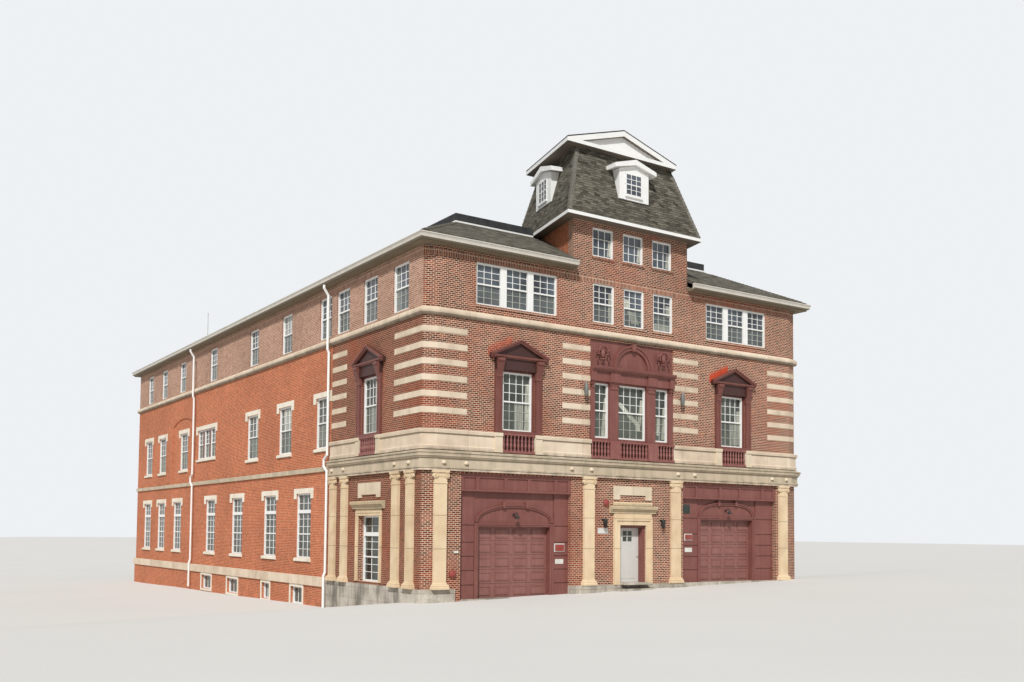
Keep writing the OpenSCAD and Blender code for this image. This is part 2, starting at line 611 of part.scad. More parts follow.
// Balustrades under the second-storey windows
module baluster() translate([0, 0, pedestal_z + 80]) rotate_extrude($fn = 24)
    polygon([[0, 0], [45, 0], [45, 60], [25, 80], [48, 200], [25, 330], [40, 345], [22, 480], [45, 520], [45, 560], [0, 560]]);
module baluster_row(x0, x1, n) for (i = [0 : n - 1]) translate([x0 + (i + 0.5) * (x1 - x0) / n, -52, -20]) baluster();
module balustrade(w) {
    block(-w / 2, w / 2, -105, 0, pedestal_z, pedestal_z + 80);
    block(-w / 2, w / 2, -105, 0, pedestal_z + 620, coping_top);
    block(-w / 2, w / 2, -10, 0, pedestal_z, coping_top);
}
bay_post = [930, 460];
module balustrades() color(maroon) site() {
    for (x = pediment_x) translate([x, 0, 0]) {
        balustrade(balustrade_w);
        baluster_row(-balustrade_w / 2, balustrade_w / 2, 9);
    }
    balustrade(centre_bay_w);
    inner = bay_post[0] - bay_post[1] / 2;
    outer = bay_post[0] + bay_post[1] / 2;
    baluster_row(-inner, inner, 9);
    for (s = [-1, 1]) {
        block(s * bay_post[0] - bay_post[1] / 2, s * bay_post[0] + bay_post[1] / 2, -125, 0, pedestal_z, coping_top);
        baluster_row(s < 0 ? -centre_bay_w / 2 : outer, s < 0 ? -outer : centre_bay_w / 2, 6);
    }
    left_facade() translate([left_x(near_window_y), 0, 0]) {
        balustrade(balustrade_w);
        baluster_row(-balustrade_w / 2, balustrade_w / 2, 9);
    }
}

// Vehicle bays: timber surround with a flattened arch, and a sectional door
recess_y = 220;
door_y = 420;
casing_w = 160;
frieze_z = 4690;
door_rows = 5;
door_columns = 4;
left_head = 3500;
right_head = 3880;
left_grooves = [1510, 2000, 2480, 2960, 3540];
right_grooves = [1890, 2410, 2850, 3300, 3920];
// Flattened arch of half width a and rise b above height z
function arch_pts(a, b, z, power) = [for (t = [0 : 6 : 180])
    [-a * sign(cos(t)) * pow(abs(cos(t)), 2 / power), z + b * pow(sin(t), 2 / power)]];
module garage_surround(bay, door, head, z0, grooves, spring_z, arch_half, power) {
    mid = (door[0] + door[1]) / 2;
    width = bay[1] - bay[0];
    strip_y = recess_y - 40;
    difference() {
        block(bay[0], bay[1], recess_y, door_y, z0, bay_head);
        block(door[0], door[1], recess_y - eps, door_y + eps, z0 - eps, head);
    }
    for (s = [[bay[0], door[0] - casing_w - 15], [door[1] + casing_w + 15, bay[1]]]) difference() {
        block(s[0], s[1], strip_y, recess_y, z0, frieze_z);
        for (z = grooves) block(s[0] - eps, s[1] + eps, strip_y - eps, strip_y + 25, z - 18, z + 18);
    }
    difference() {
        block(door[0] - casing_w, door[1] + casing_w, recess_y - 60, recess_y, z0, head + 120);
        block(door[0], door[1], recess_y - 100, recess_y + 10, z0 - eps, head);
        block(door[0] - 90, door[1] + 90, recess_y - 100, recess_y - 40, z0 - eps, head + 60);
    }
    translate([mid, 0, 0]) {
        for (ring = [[recess_y - 50, 110], [recess_y - 80, 45]]) facing(ring[0], recess_y)
            polygon(concat(arch_pts(arch_half, 630, spring_z, power),
                reversed(arch_pts(arch_half - ring[1], 630 - ring[1], spring_z, power))));
        for (x = [-485, 485]) facing(recess_y - 110, recess_y) polygon([[x - 50, spring_z + 500], [x + 50, spring_z + 500],
            [x + 70, spring_z + 710], [x - 70, spring_z + 710]]);
    }
    block(bay[0], bay[1], 60, recess_y, frieze_z, bay_head);
    block(bay[0], bay[1], 20, 60, frieze_z, frieze_z + 70);
    block(bay[0], bay[1], 20, 60, bay_head - 130, bay_head);
    for (f = [0.014, 0.145, 0.393, 0.607, 0.855, 0.986]) block(bay[0] + f * width - 62, bay[0] + f * width + 62, 20, 60,
        frieze_z + 60, bay_head - 120);
}
module garage_surrounds() color(maroon) site() {
    garage_surround(bay_left, door_left, left_head, bay_left_z, left_grooves, 3650, 1637, 2);
    garage_surround(bay_right, door_right, right_head, bay_right_z, right_grooves, 3950, 1565, 2.65);
}
module garage_door(door, head, z0) {
    row_h = (head - z0) / door_rows;
    column_w = (door[1] - door[0]) / door_columns;
    block(door[0] - 40, door[1] + 40, door_y + 30, door_y + 50, z0, head + 60);
    for (row = [0 : door_rows - 1]) {
        z = z0 + row * row_h;
        block(door[0] - 40, door[1] + 40, door_y, door_y + 30 + eps, z + 6, z + row_h - 6);
        for (column = [0 : door_columns - 1]) {
            x = door[0] + column * column_w;
            block(x + 75, x + column_w - 75, door_y - 12, door_y + eps, z + 75, z + row_h - 75);
        }
    }
}
module garage_doors() color("#8b4743") site() {
    garage_door(door_left, left_head, bay_left_z);
    garage_door(door_right, right_head, bay_right_z);
}

// Entrance: frame, leaf hinged on its left edge, and its glass
leaf_gap = 6;
leaf_y = 300;
leaf_t = 45;
leaf_w = entrance_w - 2 * leaf_gap;
leaf_z = entrance_z + 8;
leaf_h = entrance_h - 16;
lite = [450, 400];
lite_z = 3000;
module entrance_frame() color(maroon) site() difference() {
    block(-entrance_hole, entrance_hole, 60, leaf_y + leaf_t, entrance_z, entrance_top);
    block(-entrance_w / 2, entrance_w / 2, 60 - eps, leaf_y + leaf_t + eps, entrance_z - eps, entrance_z + entrance_h);
}
module entrance_door() color("#d0ccc6") site() {
    difference() {
        block(-leaf_w / 2, leaf_w / 2, leaf_y, leaf_y + leaf_t, leaf_z, leaf_z + leaf_h);
        block(-lite[0] / 2, lite[0] / 2, leaf_y - eps, leaf_y + leaf_t + eps, lite_z, lite_z + lite[1]);
    }
    block(-20, 20, leaf_y + 6, leaf_y + 17, lite_z - eps, lite_z + lite[1] + eps);
    block(-lite[0] / 2 - eps, lite[0] / 2 + eps, leaf_y + 6, leaf_y + 17, lite_z + lite[1] / 2 - 20, lite_z + lite[1] / 2 + 20);
    block(-leaf_w / 2 + 140, leaf_w / 2 - 140, leaf_y - 12, leaf_y + eps, leaf_z + 130, leaf_z + 1320);
    translate([leaf_w / 2 - 80, leaf_y, leaf_z + 1000]) rotate([90, 0, 0]) {
        cylinder(r = 12, h = 40);
        translate([0, 0, 40]) sphere(r = 30);
    }
}
module entrance_door_glass() color("#34403f") site()
    block(-lite[0] / 2, lite[0] / 2, leaf_y + 18, leaf_y + 26, lite_z, lite_z + lite[1]);

// Window frames and glass
module sash(w, flip, set, mid_rail, posts) let (x = flip * w[0], b = frame_b) {
    difference() {
        block(x - w[2] / 2, x + w[2] / 2, set, set + frame_d, w[1], w[1] + w[3]);
        block(x - w[2] / 2 + b, x + w[2] / 2 - b, set - eps, set + frame_d + eps, w[1] + b, w[1] + w[3] - b);
    }
    if (mid_rail > 0) block(x - w[2] / 2 + b - eps, x + w[2] / 2 - b + eps, set + 20, set + 70,
        w[1] + w[3] * mid_rail - 25, w[1] + w[3] * mid_rail + 25);
    if (posts > 0) for (s = [-1, 1]) block(x + s * w[2] / 6 - posts / 2, x + s * w[2] / 6 + posts / 2,
        set, set + 74, w[1] + b - eps, w[1] + w[3] - b + eps);
}
module sashes(list, flip = 1, set = flush_set, mid_rail = 0.5)
    for (w = list) sash(w, flip, set, mid_rail, w[2] > 2500 ? 260 : 0);
module panes(list, flip = 1, set = flush_set)
    for (w = list) block(flip * w[0] - w[2] / 2 + frame_b, flip * w[0] + w[2] / 2 - frame_b, set + 75, set + 83,
        w[1] + frame_b, w[1] + w[3] - frame_b);
near_transom = 0.72;
first_transom = 0.72;
module front_window_frames() color(paint_white) site() {
    sashes(front_second, set = casing_set);
    sashes(bay_windows, set = bay_set);
    sashes(front_third);
    sashes(tower_windows, mid_rail = 0);
    each_dormer() sash(dormer_pane, 1, dormer_set, 0, 0);
}
module side_window_frames() color(paint_white) site() {
    left_facade() {
        sashes(side_first, -1, mid_rail = first_transom);
        sashes([near_first], -1, deep_set, near_transom);
        sashes([left_second], -1, casing_set);
        sashes(side_second, -1);
        sashes(niche_window, -1, niche_d + flush_set);
        sashes(side_third, -1);
        sashes(basement, -1, flush_set, 0);
    }
    right_facade() {
        sashes(side_first, mid_rail = first_transom);
        sashes(side_second);
        sashes(niche_window);
        sashes(side_third);
    }
    rear_facade() {
        sashes(rear_first);
        sashes(rear_second);
        sashes(rear_third);
    }
}
module window_glass() color("#3d4a52") site() {
    panes(front_second, set = casing_set);
    panes(bay_windows, set = bay_set);
    panes(front_third);
    panes(tower_windows);
    each_dormer() panes([dormer_pane], set = dormer_set);
    left_facade() {
        panes(side_first, -1);
        panes([near_first], -1, deep_set);
        panes([left_second], -1, casing_set);
        panes(side_second, -1);
        panes(niche_window, -1, niche_d + flush_set);
        panes(side_third, -1);
        panes(basement, -1);
    }
    right_facade() {
        panes(side_first);
        panes(side_second);
        panes(niche_window);
        panes(side_third);
    }
    rear_facade() {
        panes(rear_first);
        panes(rear_second);
        panes(rear_third);
    }
}

// Stone lintels with ears, stone sills, and sills of bricks on edge
ear_w = 250;
module lintel(w, flip) let (x = flip * w[0], top = w[1] + w[3]) {
    block(x - w[2] / 2 - ear_w, x + w[2] / 2 + ear_w, -30, 0, top, top + 210);
    for (s = [-1, 1]) let (m = x + s * (w[2] + ear_w) / 2) block(m - ear_w / 2, m + ear_w / 2, -30, 0, top - 220, top + eps);
}
module sill(w, flip) let (x = flip * w[0])
    along(x - w[2] / 2 - 90, x + w[2] / 2 + 90) polygon([[0, w[1] - 150], [-50, w[1] - 150], [-70, w[1] - 130], [-70, w[1] - 25], [0, w[1]]]);
module brick_sill(w, flip) let (x = flip * w[0])
    block(x - w[2] / 2 - 60, x + w[2] / 2 + 60, -35, 0, w[1] - 80, w[1]);
module window_lintels() color(paint_white) site() {
    left_facade() {
        for (w = concat(side_first, side_second)) lintel(w, -1);
        translate([0, niche_d, 0]) lintel(niche_window[0], -1);
        for (w = basement) basement_frame(w, -1);
    }
    right_facade() for (w = concat(side_first, side_second, niche_window)) lintel(w, 1);
    rear_facade() for (w = concat(rear_first, rear_second)) lintel(w, 1);
}
module basement_frame(w, flip) let (x = flip * w[0]) difference() {
    block(x - w[2] / 2 - 110, x + w[2] / 2 + 110, -90, -60, w[1] - 90, w[1] + w[3] + 110);
    block(x - w[2] / 2, x + w[2] / 2, -100, 0, w[1], w[1] + w[3]);
}
module window_sills() color(limestone) site() {
    left_facade() {
        for (w = concat(side_first, side_second)) sill(w, -1);
        translate([0, niche_d, 0]) sill(niche_window[0], -1);
    }
    right_facade() for (w = concat(side_first, side_second, niche_window)) sill(w, 1);
    rear_facade() for (w = concat(rear_first, rear_second)) sill(w, 1);
}
module brick_sills() color(brick_dark) site() {
    for (w = concat(front_third, tower_windows)) brick_sill(w, 1);
    left_facade() for (w = side_third) brick_sill(w, -1);
    right_facade() for (w = side_third) brick_sill(w, 1);
    rear_facade() for (w = rear_third) brick_sill(w, 1);
}

// Eaves that run round the building from one side of the tower to the other
eave_line = [[2800, 0], [right_end, 0], [right_end, depth], [left_end, depth], [left_end, 0], [-2900, 0]];
gutter_in = 320;
soffit_top = soffit_z + 110;
module soffits() color("#b5a996") site() moulding(eave_line,
    [[0, soffit_z], [gutter_in, soffit_z], [gutter_in, soffit_top], [0, soffit_top]], [[0, 1, 2, 3]]);
module gutters() color(paint_white) site() moulding(eave_line,
    [[gutter_in, soffit_z + 50], [gutter_in + 60, soffit_z + 60], [gutter_in + 95, soffit_z + 100], [gutter_in + 100, soffit_z + 170],
     [overhang - 8, soffit_z + 220], [overhang, soffit_z + 230], [overhang, gutter_top - 30], [gutter_in, gutter_top - 30]],
    [[0, 1, 2, 3, 4, 5, 6, 7]]);

// Hip roof: planes of shingles up to the curb of the deck
roof_t = 120;
roof_z = gutter_top - 20;
curb_z = roof_z + roof_run * roof_pitch;
eave_gap = overhang - gutter_in;
module slope(run_len) rotate([90, 0, 90]) linear_extrude(run_len) polygon([
    [eave_gap, roof_z - roof_t + eave_gap * roof_pitch], [eave_gap, roof_z + eave_gap * roof_pitch],
    [roof_run, curb_z], [roof_run, curb_z - roof_t]]);
module slope_between_hips(length) intersection() {
    translate([-length / 2 - overhang, -overhang, 0]) slope(length + 2 * overhang);
    linear_extrude(20000) polygon([[-length / 2 - overhang, -overhang], [length / 2 + overhang, -overhang],
        [length / 2 + overhang - roof_run, roof_run - overhang], [-length / 2 - overhang + roof_run, roof_run - overhang]]);
}
module end_roof_slopes() color(shingle) site() {
    difference() {
        translate([roof_mid, 0, 0]) slope_between_hips(front_w);
        tower_prism(0, 12000, 16000);
        block(tower_l - 10, tower_r + 10, -overhang - eps, 0, 12000, 16000);
    }
    translate([roof_mid, depth, 0]) rotate([0, 0, 180]) slope_between_hips(front_w);
}
module side_roof_slopes() color(shingle) site() {
    left_facade() translate([-depth / 2, 0, 0]) slope_between_hips(depth);
    right_facade() translate([depth / 2, 0, 0]) slope_between_hips(depth);
}
deck_in = roof_run - overhang;
module deck_ring(out, inside, z0, z1) difference() {
    block(left_end + deck_in - out, right_end - deck_in + out, deck_in - out, depth - deck_in + out, z0, z1);
    block(left_end + deck_in + inside, right_end - deck_in - inside, deck_in + inside, depth - deck_in - inside, z0 - eps, z1 + eps);
    tower_prism(overhang + 20, z0 - eps, 16000);
}
module roof_deck() color("#2c2d2e") site() difference() {
    union() {
        block(left_end + deck_in, right_end - deck_in, deck_in, depth - deck_in, curb_z - roof_t, curb_z);
        deck_ring(0, 200, curb_z, curb_z + curb_h);
    }
    tower_prism(0, 12000, 16000);
}
module drip_edge() color(paint_white) site() deck_ring(25, 0, curb_z, curb_z + 60);

// Tower eave, mansard, gable roof and dormers
tower_eave_z = tower_soffit_z + 120;
mansard_in = [820, 753, 995];
module tower_eave() color(paint_white) site() difference() {
    tower_prism(overhang, tower_soffit_z, tower_eave_z);
    tower_prism(-wall_t, tower_soffit_z - eps, tower_eave_z + eps);
}
// Plan of the mansard at the share t of its height, from insets at the front and back, left and right
function mansard_ring(t, p = overhang - 30) = let (
    f = mansard_in[0] * t, l = mansard_in[1] * t / cos(tower_skew), r = mansard_in[2] * t / cos(tower_skew),
    a = tower_plan(p))
    [[a[0][0] + l + f * tower_lean, a[0][1] + f], [a[1][0] - r + f * tower_lean, a[1][1] + f],
     [a[2][0] - r - f * tower_lean, a[2][1] - f], [a[3][0] + l - f * tower_lean, a[3][1] - f]];
module frustum(lo, hi, z0, z1) polyhedron(
    concat([for (q = lo) [q[0], q[1], z0]], [for (q = hi) [q[0], q[1], z1]]),
    [[0, 1, 2, 3], [7, 6, 5, 4], [0, 4, 5, 1], [1, 5, 6, 2], [2, 6, 7, 3], [3, 7, 4, 0]]);
mansard_t = 180;
module mansard_roof() color(shingle) site() difference() {
    frustum(mansard_ring(0), mansard_ring(1), tower_eave_z, mansard_top);
    frustum(mansard_ring(0, overhang - 30 - mansard_t), mansard_ring(0.95, overhang - 30 - mansard_t), tower_eave_z - eps,
        tower_eave_z + 0.95 * (mansard_top - tower_eave_z));
    dormer_cuts();
}
gable_x = [-3070, -375, 2320];
gable_y = [100, 4074];
gable_z = [mansard_top, mansard_top + 140, mansard_top + 940];
gable_face = 150;
tower_roof_t = 50;
// Prism that leans with the tower. Its outline is [x at the front of the gable, height], counter-clockwise from the front
module leaning(outline, y0, y1, end_faces) {
    n = len(outline);
    pts = [for (y = [y0, y1]) for (q = outline) [q[0] + (y - gable_y[0]) * tower_lean, y, q[1]]];
    sides = [for (i = [0 : n - 1]) [i, (i + 1) % n, (i + 1) % n + n, i + n]];
    ends = [for (f = end_faces) each [reversed(f), [for (i = f) i + n]]];
    polyhedron(pts, concat(sides, ends));
}
rake = 200;
rake_in = rake / (gable_z[2] - gable_z[1]) * (gable_x[2] - gable_x[1]);
module tower_gable() color(paint_white) site() {
    leaning([[gable_x[0], gable_z[0]], [gable_x[2], gable_z[0]], [gable_x[2], gable_z[1]], [gable_x[0], gable_z[1]]],
        gable_y[0], gable_y[1], [[0, 1, 2, 3]]);
    leaning([[gable_x[0] + rake_in, gable_z[1]], [gable_x[2] - rake_in, gable_z[1]], [gable_x[1], gable_z[2] - rake]],
        gable_y[0] + gable_face, gable_y[1] - gable_face, [[0, 1, 2]]);
    leaning([[gable_x[0], gable_z[1]], [gable_x[0] + rake_in, gable_z[1]], [gable_x[1], gable_z[2] - rake],
        [gable_x[2] - rake_in, gable_z[1]], [gable_x[2], gable_z[1]], [gable_x[1], gable_z[2]]],
        gable_y[0], gable_y[1], [[0, 1, 2, 5], [2, 3, 4, 5]]);
}
module tower_roof() color("#2c2d2e") site() leaning([
    [gable_x[0], gable_z[1] + eps], [gable_x[1], gable_z[2] + eps], [gable_x[2], gable_z[1] + eps],
    [gable_x[2], gable_z[1] + tower_roof_t], [gable_x[1], gable_z[2] + tower_roof_t], [gable_x[0], gable_z[1] + tower_roof_t]],
    gable_y[0], gable_y[1], [[0, 1, 4, 5], [1, 2, 3, 4]]);

dormer_half = 725;
dormer_z = 15930;
dormer_face = 200;
dormer_back = 900;
dormer_set = 30;
dormer_pane = [-30, 16110, 720, 740];
// Outlines of the roof and the face of a dormer, grown by g
function dormer_roof(g = 0) = [[-1020 - g, 17040 - g], [0, 17300 - g], [1020 + g, 17040 - g],
    [1020 + g, 17200 + g], [0, 17500 + g], [-1020 - g, 17200 + g]];
function dormer_shape(g = 0) = [[-dormer_half - g, dormer_z - g], [dormer_half + g, dormer_z - g],
    [dormer_half + g, 17090], [0, 17290 + g], [-dormer_half - g, 17090]];
module dormer() {
    difference() {
        facing(0, dormer_back) polygon(dormer_shape());
        block(dormer_pane[0] - dormer_pane[2] / 2, dormer_pane[0] + dormer_pane[2] / 2, -eps, 2000,
            dormer_pane[1], dormer_pane[1] + dormer_pane[3]);
    }
    facing(-130, dormer_back) polygon(dormer_roof());
    along(dormer_pane[0] - 430, dormer_pane[0] + 430) polygon([[0, dormer_pane[1] - 70], [-60, dormer_pane[1] - 70],
        [-60, dormer_pane[1] - 20], [0, dormer_pane[1]]]);
}
// One dormer on each face of the mansard, where local Y runs into it
dormer_y = 2290;
module each_dormer() {
    translate([-130, -dormer_face, 0]) children();
    translate([tower_l + dormer_y * tower_lean, dormer_y, 0]) rotate([0, 0, -90 - tower_skew])
        translate([0, -dormer_face, 0]) children();
    translate([tower_r + dormer_y * tower_lean, dormer_y, 0]) rotate([0, 0, 90 - tower_skew])
        translate([0, -dormer_face, 0]) children();
    translate([tower_mid + tower_d * tower_lean, tower_d + dormer_face, 0]) rotate([0, 0, 180]) children();
}
module dormer_cuts() each_dormer() {
    facing(-200, dormer_back + 5) polygon(dormer_shape(eps));
    facing(-200, dormer_back + 5) polygon(dormer_roof(eps));
}
module dormers() color(paint_white) site() each_dormer() dormer();

// Downspouts that step out round the belt and the second band
spout_r = 50;
module pipe(points, r) {
    for (i = [0 : len(points) - 2]) let (a = points[i], b = points[i + 1], d = b - a, l = norm(d))
        translate(a) rotate([0, acos(d[2] / l), atan2(d[1], d[0])]) cylinder(r = r, h = l);
    for (i = [1 : len(points) - 2]) translate(points[i]) sphere(r = 1.12 * r);
}
module downspout(y) left_facade() translate([left_x(y), 0, 0]) pipe([
    [0, -385, soffit_z], [0, -385, soffit_z - 120], [0, -200, soffit_z - 400], [0, -200, 10400], [0, -140, 10250],
    [0, -140, 6250], [-300, -140, 6080], [-300, -140, 5820], [0, -140, 5600], [0, -140, 1700], [0, -200, 1550],
    [0, -200, 300]], spout_r);
module downspouts() color(paint_white) site() {
    downspout(side_near + 100);
    downspout(25100);
}

// Lanterns beside the entrance, and hooked lamps in the vehicle bays
module lantern() {
    rotate_extrude($fn = 24) polygon([[0, 0], [30, 10], [70, 60], [85, 260], [95, 270], [60, 330], [20, 350], [12, 400], [0, 405]]);
    translate([0, 150, 300]) rotate([90, 0, 0]) cylinder(r = 14, h = 130);
    translate([0, 150, 300]) rotate([90, 0, 0]) cylinder(r = 50, h = 18);
}
module hooked_lamp() {
    translate([0, -20, 0]) rotate([90, 0, 0]) cylinder(r = 45, h = 20);
    pipe([[0, -10, 0], [0, -120, 70], [0, -240, 70], [0, -240, 0]], 13);
    translate([0, -240, -130]) rotate_extrude($fn = 24) polygon([[0, 60], [95, 0], [95, 12], [50, 90], [30, 150], [0, 150]]);
}
module wall_lamps() color("#2b2a29") site() {
    for (s = [-1, 1]) translate([s * 1420, -150, 3500]) lantern();
    for (p = [[-5260, 3910], [5120, 4250]]) translate([p[0], recess_y, p[1]]) hooked_lamp();
}
module bay_lamps() color("#8c8c8a") site() for (s = [-1, 1]) translate([s * 2380, -200, 8270]) {
    rotate_extrude($fn = 24) polygon([[0, 0], [40, 15], [70, 80], [85, 220], [85, 330], [70, 450], [35, 530], [0, 550]]);
    translate([0, 200 - stripe_t, 300]) rotate([90, 0, 0]) cylinder(r = 18, h = 150);
}
module alarm_bells() color("#9c2b22") site() {
    for (p = [[-7860, 1900], [-1300, 4430]]) translate([p[0], 0, p[1]]) rotate([90, 0, 0]) rotate_extrude($fn = 32)
        polygon([[0, 0], [60, 0], [60, 25], [135, 25], [135, 40], [110, 85], [60, 110], [0, 115]]);
}
module antenna() color(paint_white) site() translate([-6100, 32900, curb_z + curb_h]) cylinder(r = 25, h = 1500);

front_foundation();
side_foundations();
rear_foundation();
entrance_step();
ground_floor();
upper_floors();
front_piers();
front_header();
front_wall_second();
centre_wall();
front_wall_third();
left_wall();
right_wall();
rear_wall();
tower_front_wall();
tower_back_walls();
entablature();
pedestal_course();
stone_bands();
pilasters();
stone_stripes();
stone_surrounds();
stone_ornaments();
pediment_surrounds();
centre_bay();
balustrades();
garage_surrounds();
garage_doors();
entrance_frame();
entrance_door();
entrance_door_glass();
front_window_frames();
side_window_frames();
window_glass();
window_lintels();
window_sills();
brick_sills();
soffits();
gutters();
end_roof_slopes();
side_roof_slopes();
roof_deck();
drip_edge();
tower_eave();
mansard_roof();
tower_gable();
tower_roof();
dormers();
downspouts();
wall_lamps();
bay_lamps();
alarm_bells();
antenna();
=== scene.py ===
import math

import bmesh
import bpy
import numpy as np
from mathutils import Matrix, Vector


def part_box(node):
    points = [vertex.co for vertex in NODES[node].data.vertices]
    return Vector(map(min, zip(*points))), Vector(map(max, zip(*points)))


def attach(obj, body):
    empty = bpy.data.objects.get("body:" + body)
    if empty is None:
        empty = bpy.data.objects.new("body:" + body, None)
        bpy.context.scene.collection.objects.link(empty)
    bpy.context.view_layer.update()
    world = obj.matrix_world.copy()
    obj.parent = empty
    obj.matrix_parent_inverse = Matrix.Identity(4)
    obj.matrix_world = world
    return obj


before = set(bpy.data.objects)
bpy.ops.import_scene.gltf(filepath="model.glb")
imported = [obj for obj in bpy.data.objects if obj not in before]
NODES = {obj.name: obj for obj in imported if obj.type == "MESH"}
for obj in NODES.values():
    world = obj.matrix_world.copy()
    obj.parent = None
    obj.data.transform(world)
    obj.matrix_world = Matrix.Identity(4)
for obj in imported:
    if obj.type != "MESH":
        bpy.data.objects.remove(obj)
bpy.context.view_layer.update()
BODY = "building"
FRONT_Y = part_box("front_wall_third")[0].y
LEFT_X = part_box("left_wall")[0].x
RIGHT_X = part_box("right_wall")[1].x
MIDDLE_X = (LEFT_X + RIGHT_X) / 2
REAR_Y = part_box("rear_wall")[1].y
BELT_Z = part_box("front_wall_third")[0].z


# Camera
PHOTO_W = 1024
SENSOR = 36.0
FOCAL_PX = 1025.6
PRINCIPAL_ROW = 478.1
PHOTO_MIDDLE_ROW = 341.0
CAMERA_PLACE = (-25.30, -48.11, 3.33)
YAW, PITCH, ROLL = math.radians(33.80), math.radians(2.99), math.radians(0.505)
CLIP_NEAR, CLIP_FAR = 0.5, 2000


def camera_turn():
    """Turn of a camera that looks along +Y, after its yaw to the right, its pitch up and its roll."""
    level_right = Vector((math.cos(YAW), -math.sin(YAW), 0))
    level_ahead = Vector((math.sin(YAW), math.cos(YAW), 0))
    ahead = level_ahead * math.cos(PITCH) + Vector((0, 0, math.sin(PITCH)))
    up = Vector((0, 0, math.cos(PITCH))) - level_ahead * math.sin(PITCH)
    right = level_right * math.cos(ROLL) + up * math.sin(ROLL)
    top = up * math.cos(ROLL) - level_right * math.sin(ROLL)
    return Matrix((right, top, -ahead)).transposed()


def make_camera():
    """A camera at the photographer's place. Its shift gives the photo's principal row."""
    lens = bpy.data.cameras.new("camera")
    lens.sensor_width = SENSOR
    lens.lens = FOCAL_PX / PHOTO_W * SENSOR
    lens.shift_y = (PRINCIPAL_ROW - PHOTO_MIDDLE_ROW) / PHOTO_W
    lens.clip_start, lens.clip_end = CLIP_NEAR, CLIP_FAR
    camera = bpy.data.objects.new("camera", lens)
    camera.matrix_world = Matrix.Translation(CAMERA_PLACE) @ camera_turn().to_4x4()
    bpy.context.scene.collection.objects.link(camera)
    bpy.context.scene.camera = camera


# Colours
def colour(code):
    """A colour written as #rrggbb, for a shader."""
    parts = [int(code[i:i + 2], 16) / 255 for i in (1, 3, 5)]
    linear = [p / 12.92 if p <= 0.04045 else ((p + 0.055) / 1.055) ** 2.4 for p in parts]
    return (*linear, 1.0)


def tones(*codes):
    """Even stops of a colour ramp."""
    return [(i / (len(codes) - 1), colour(code)) for i, code in enumerate(codes)]


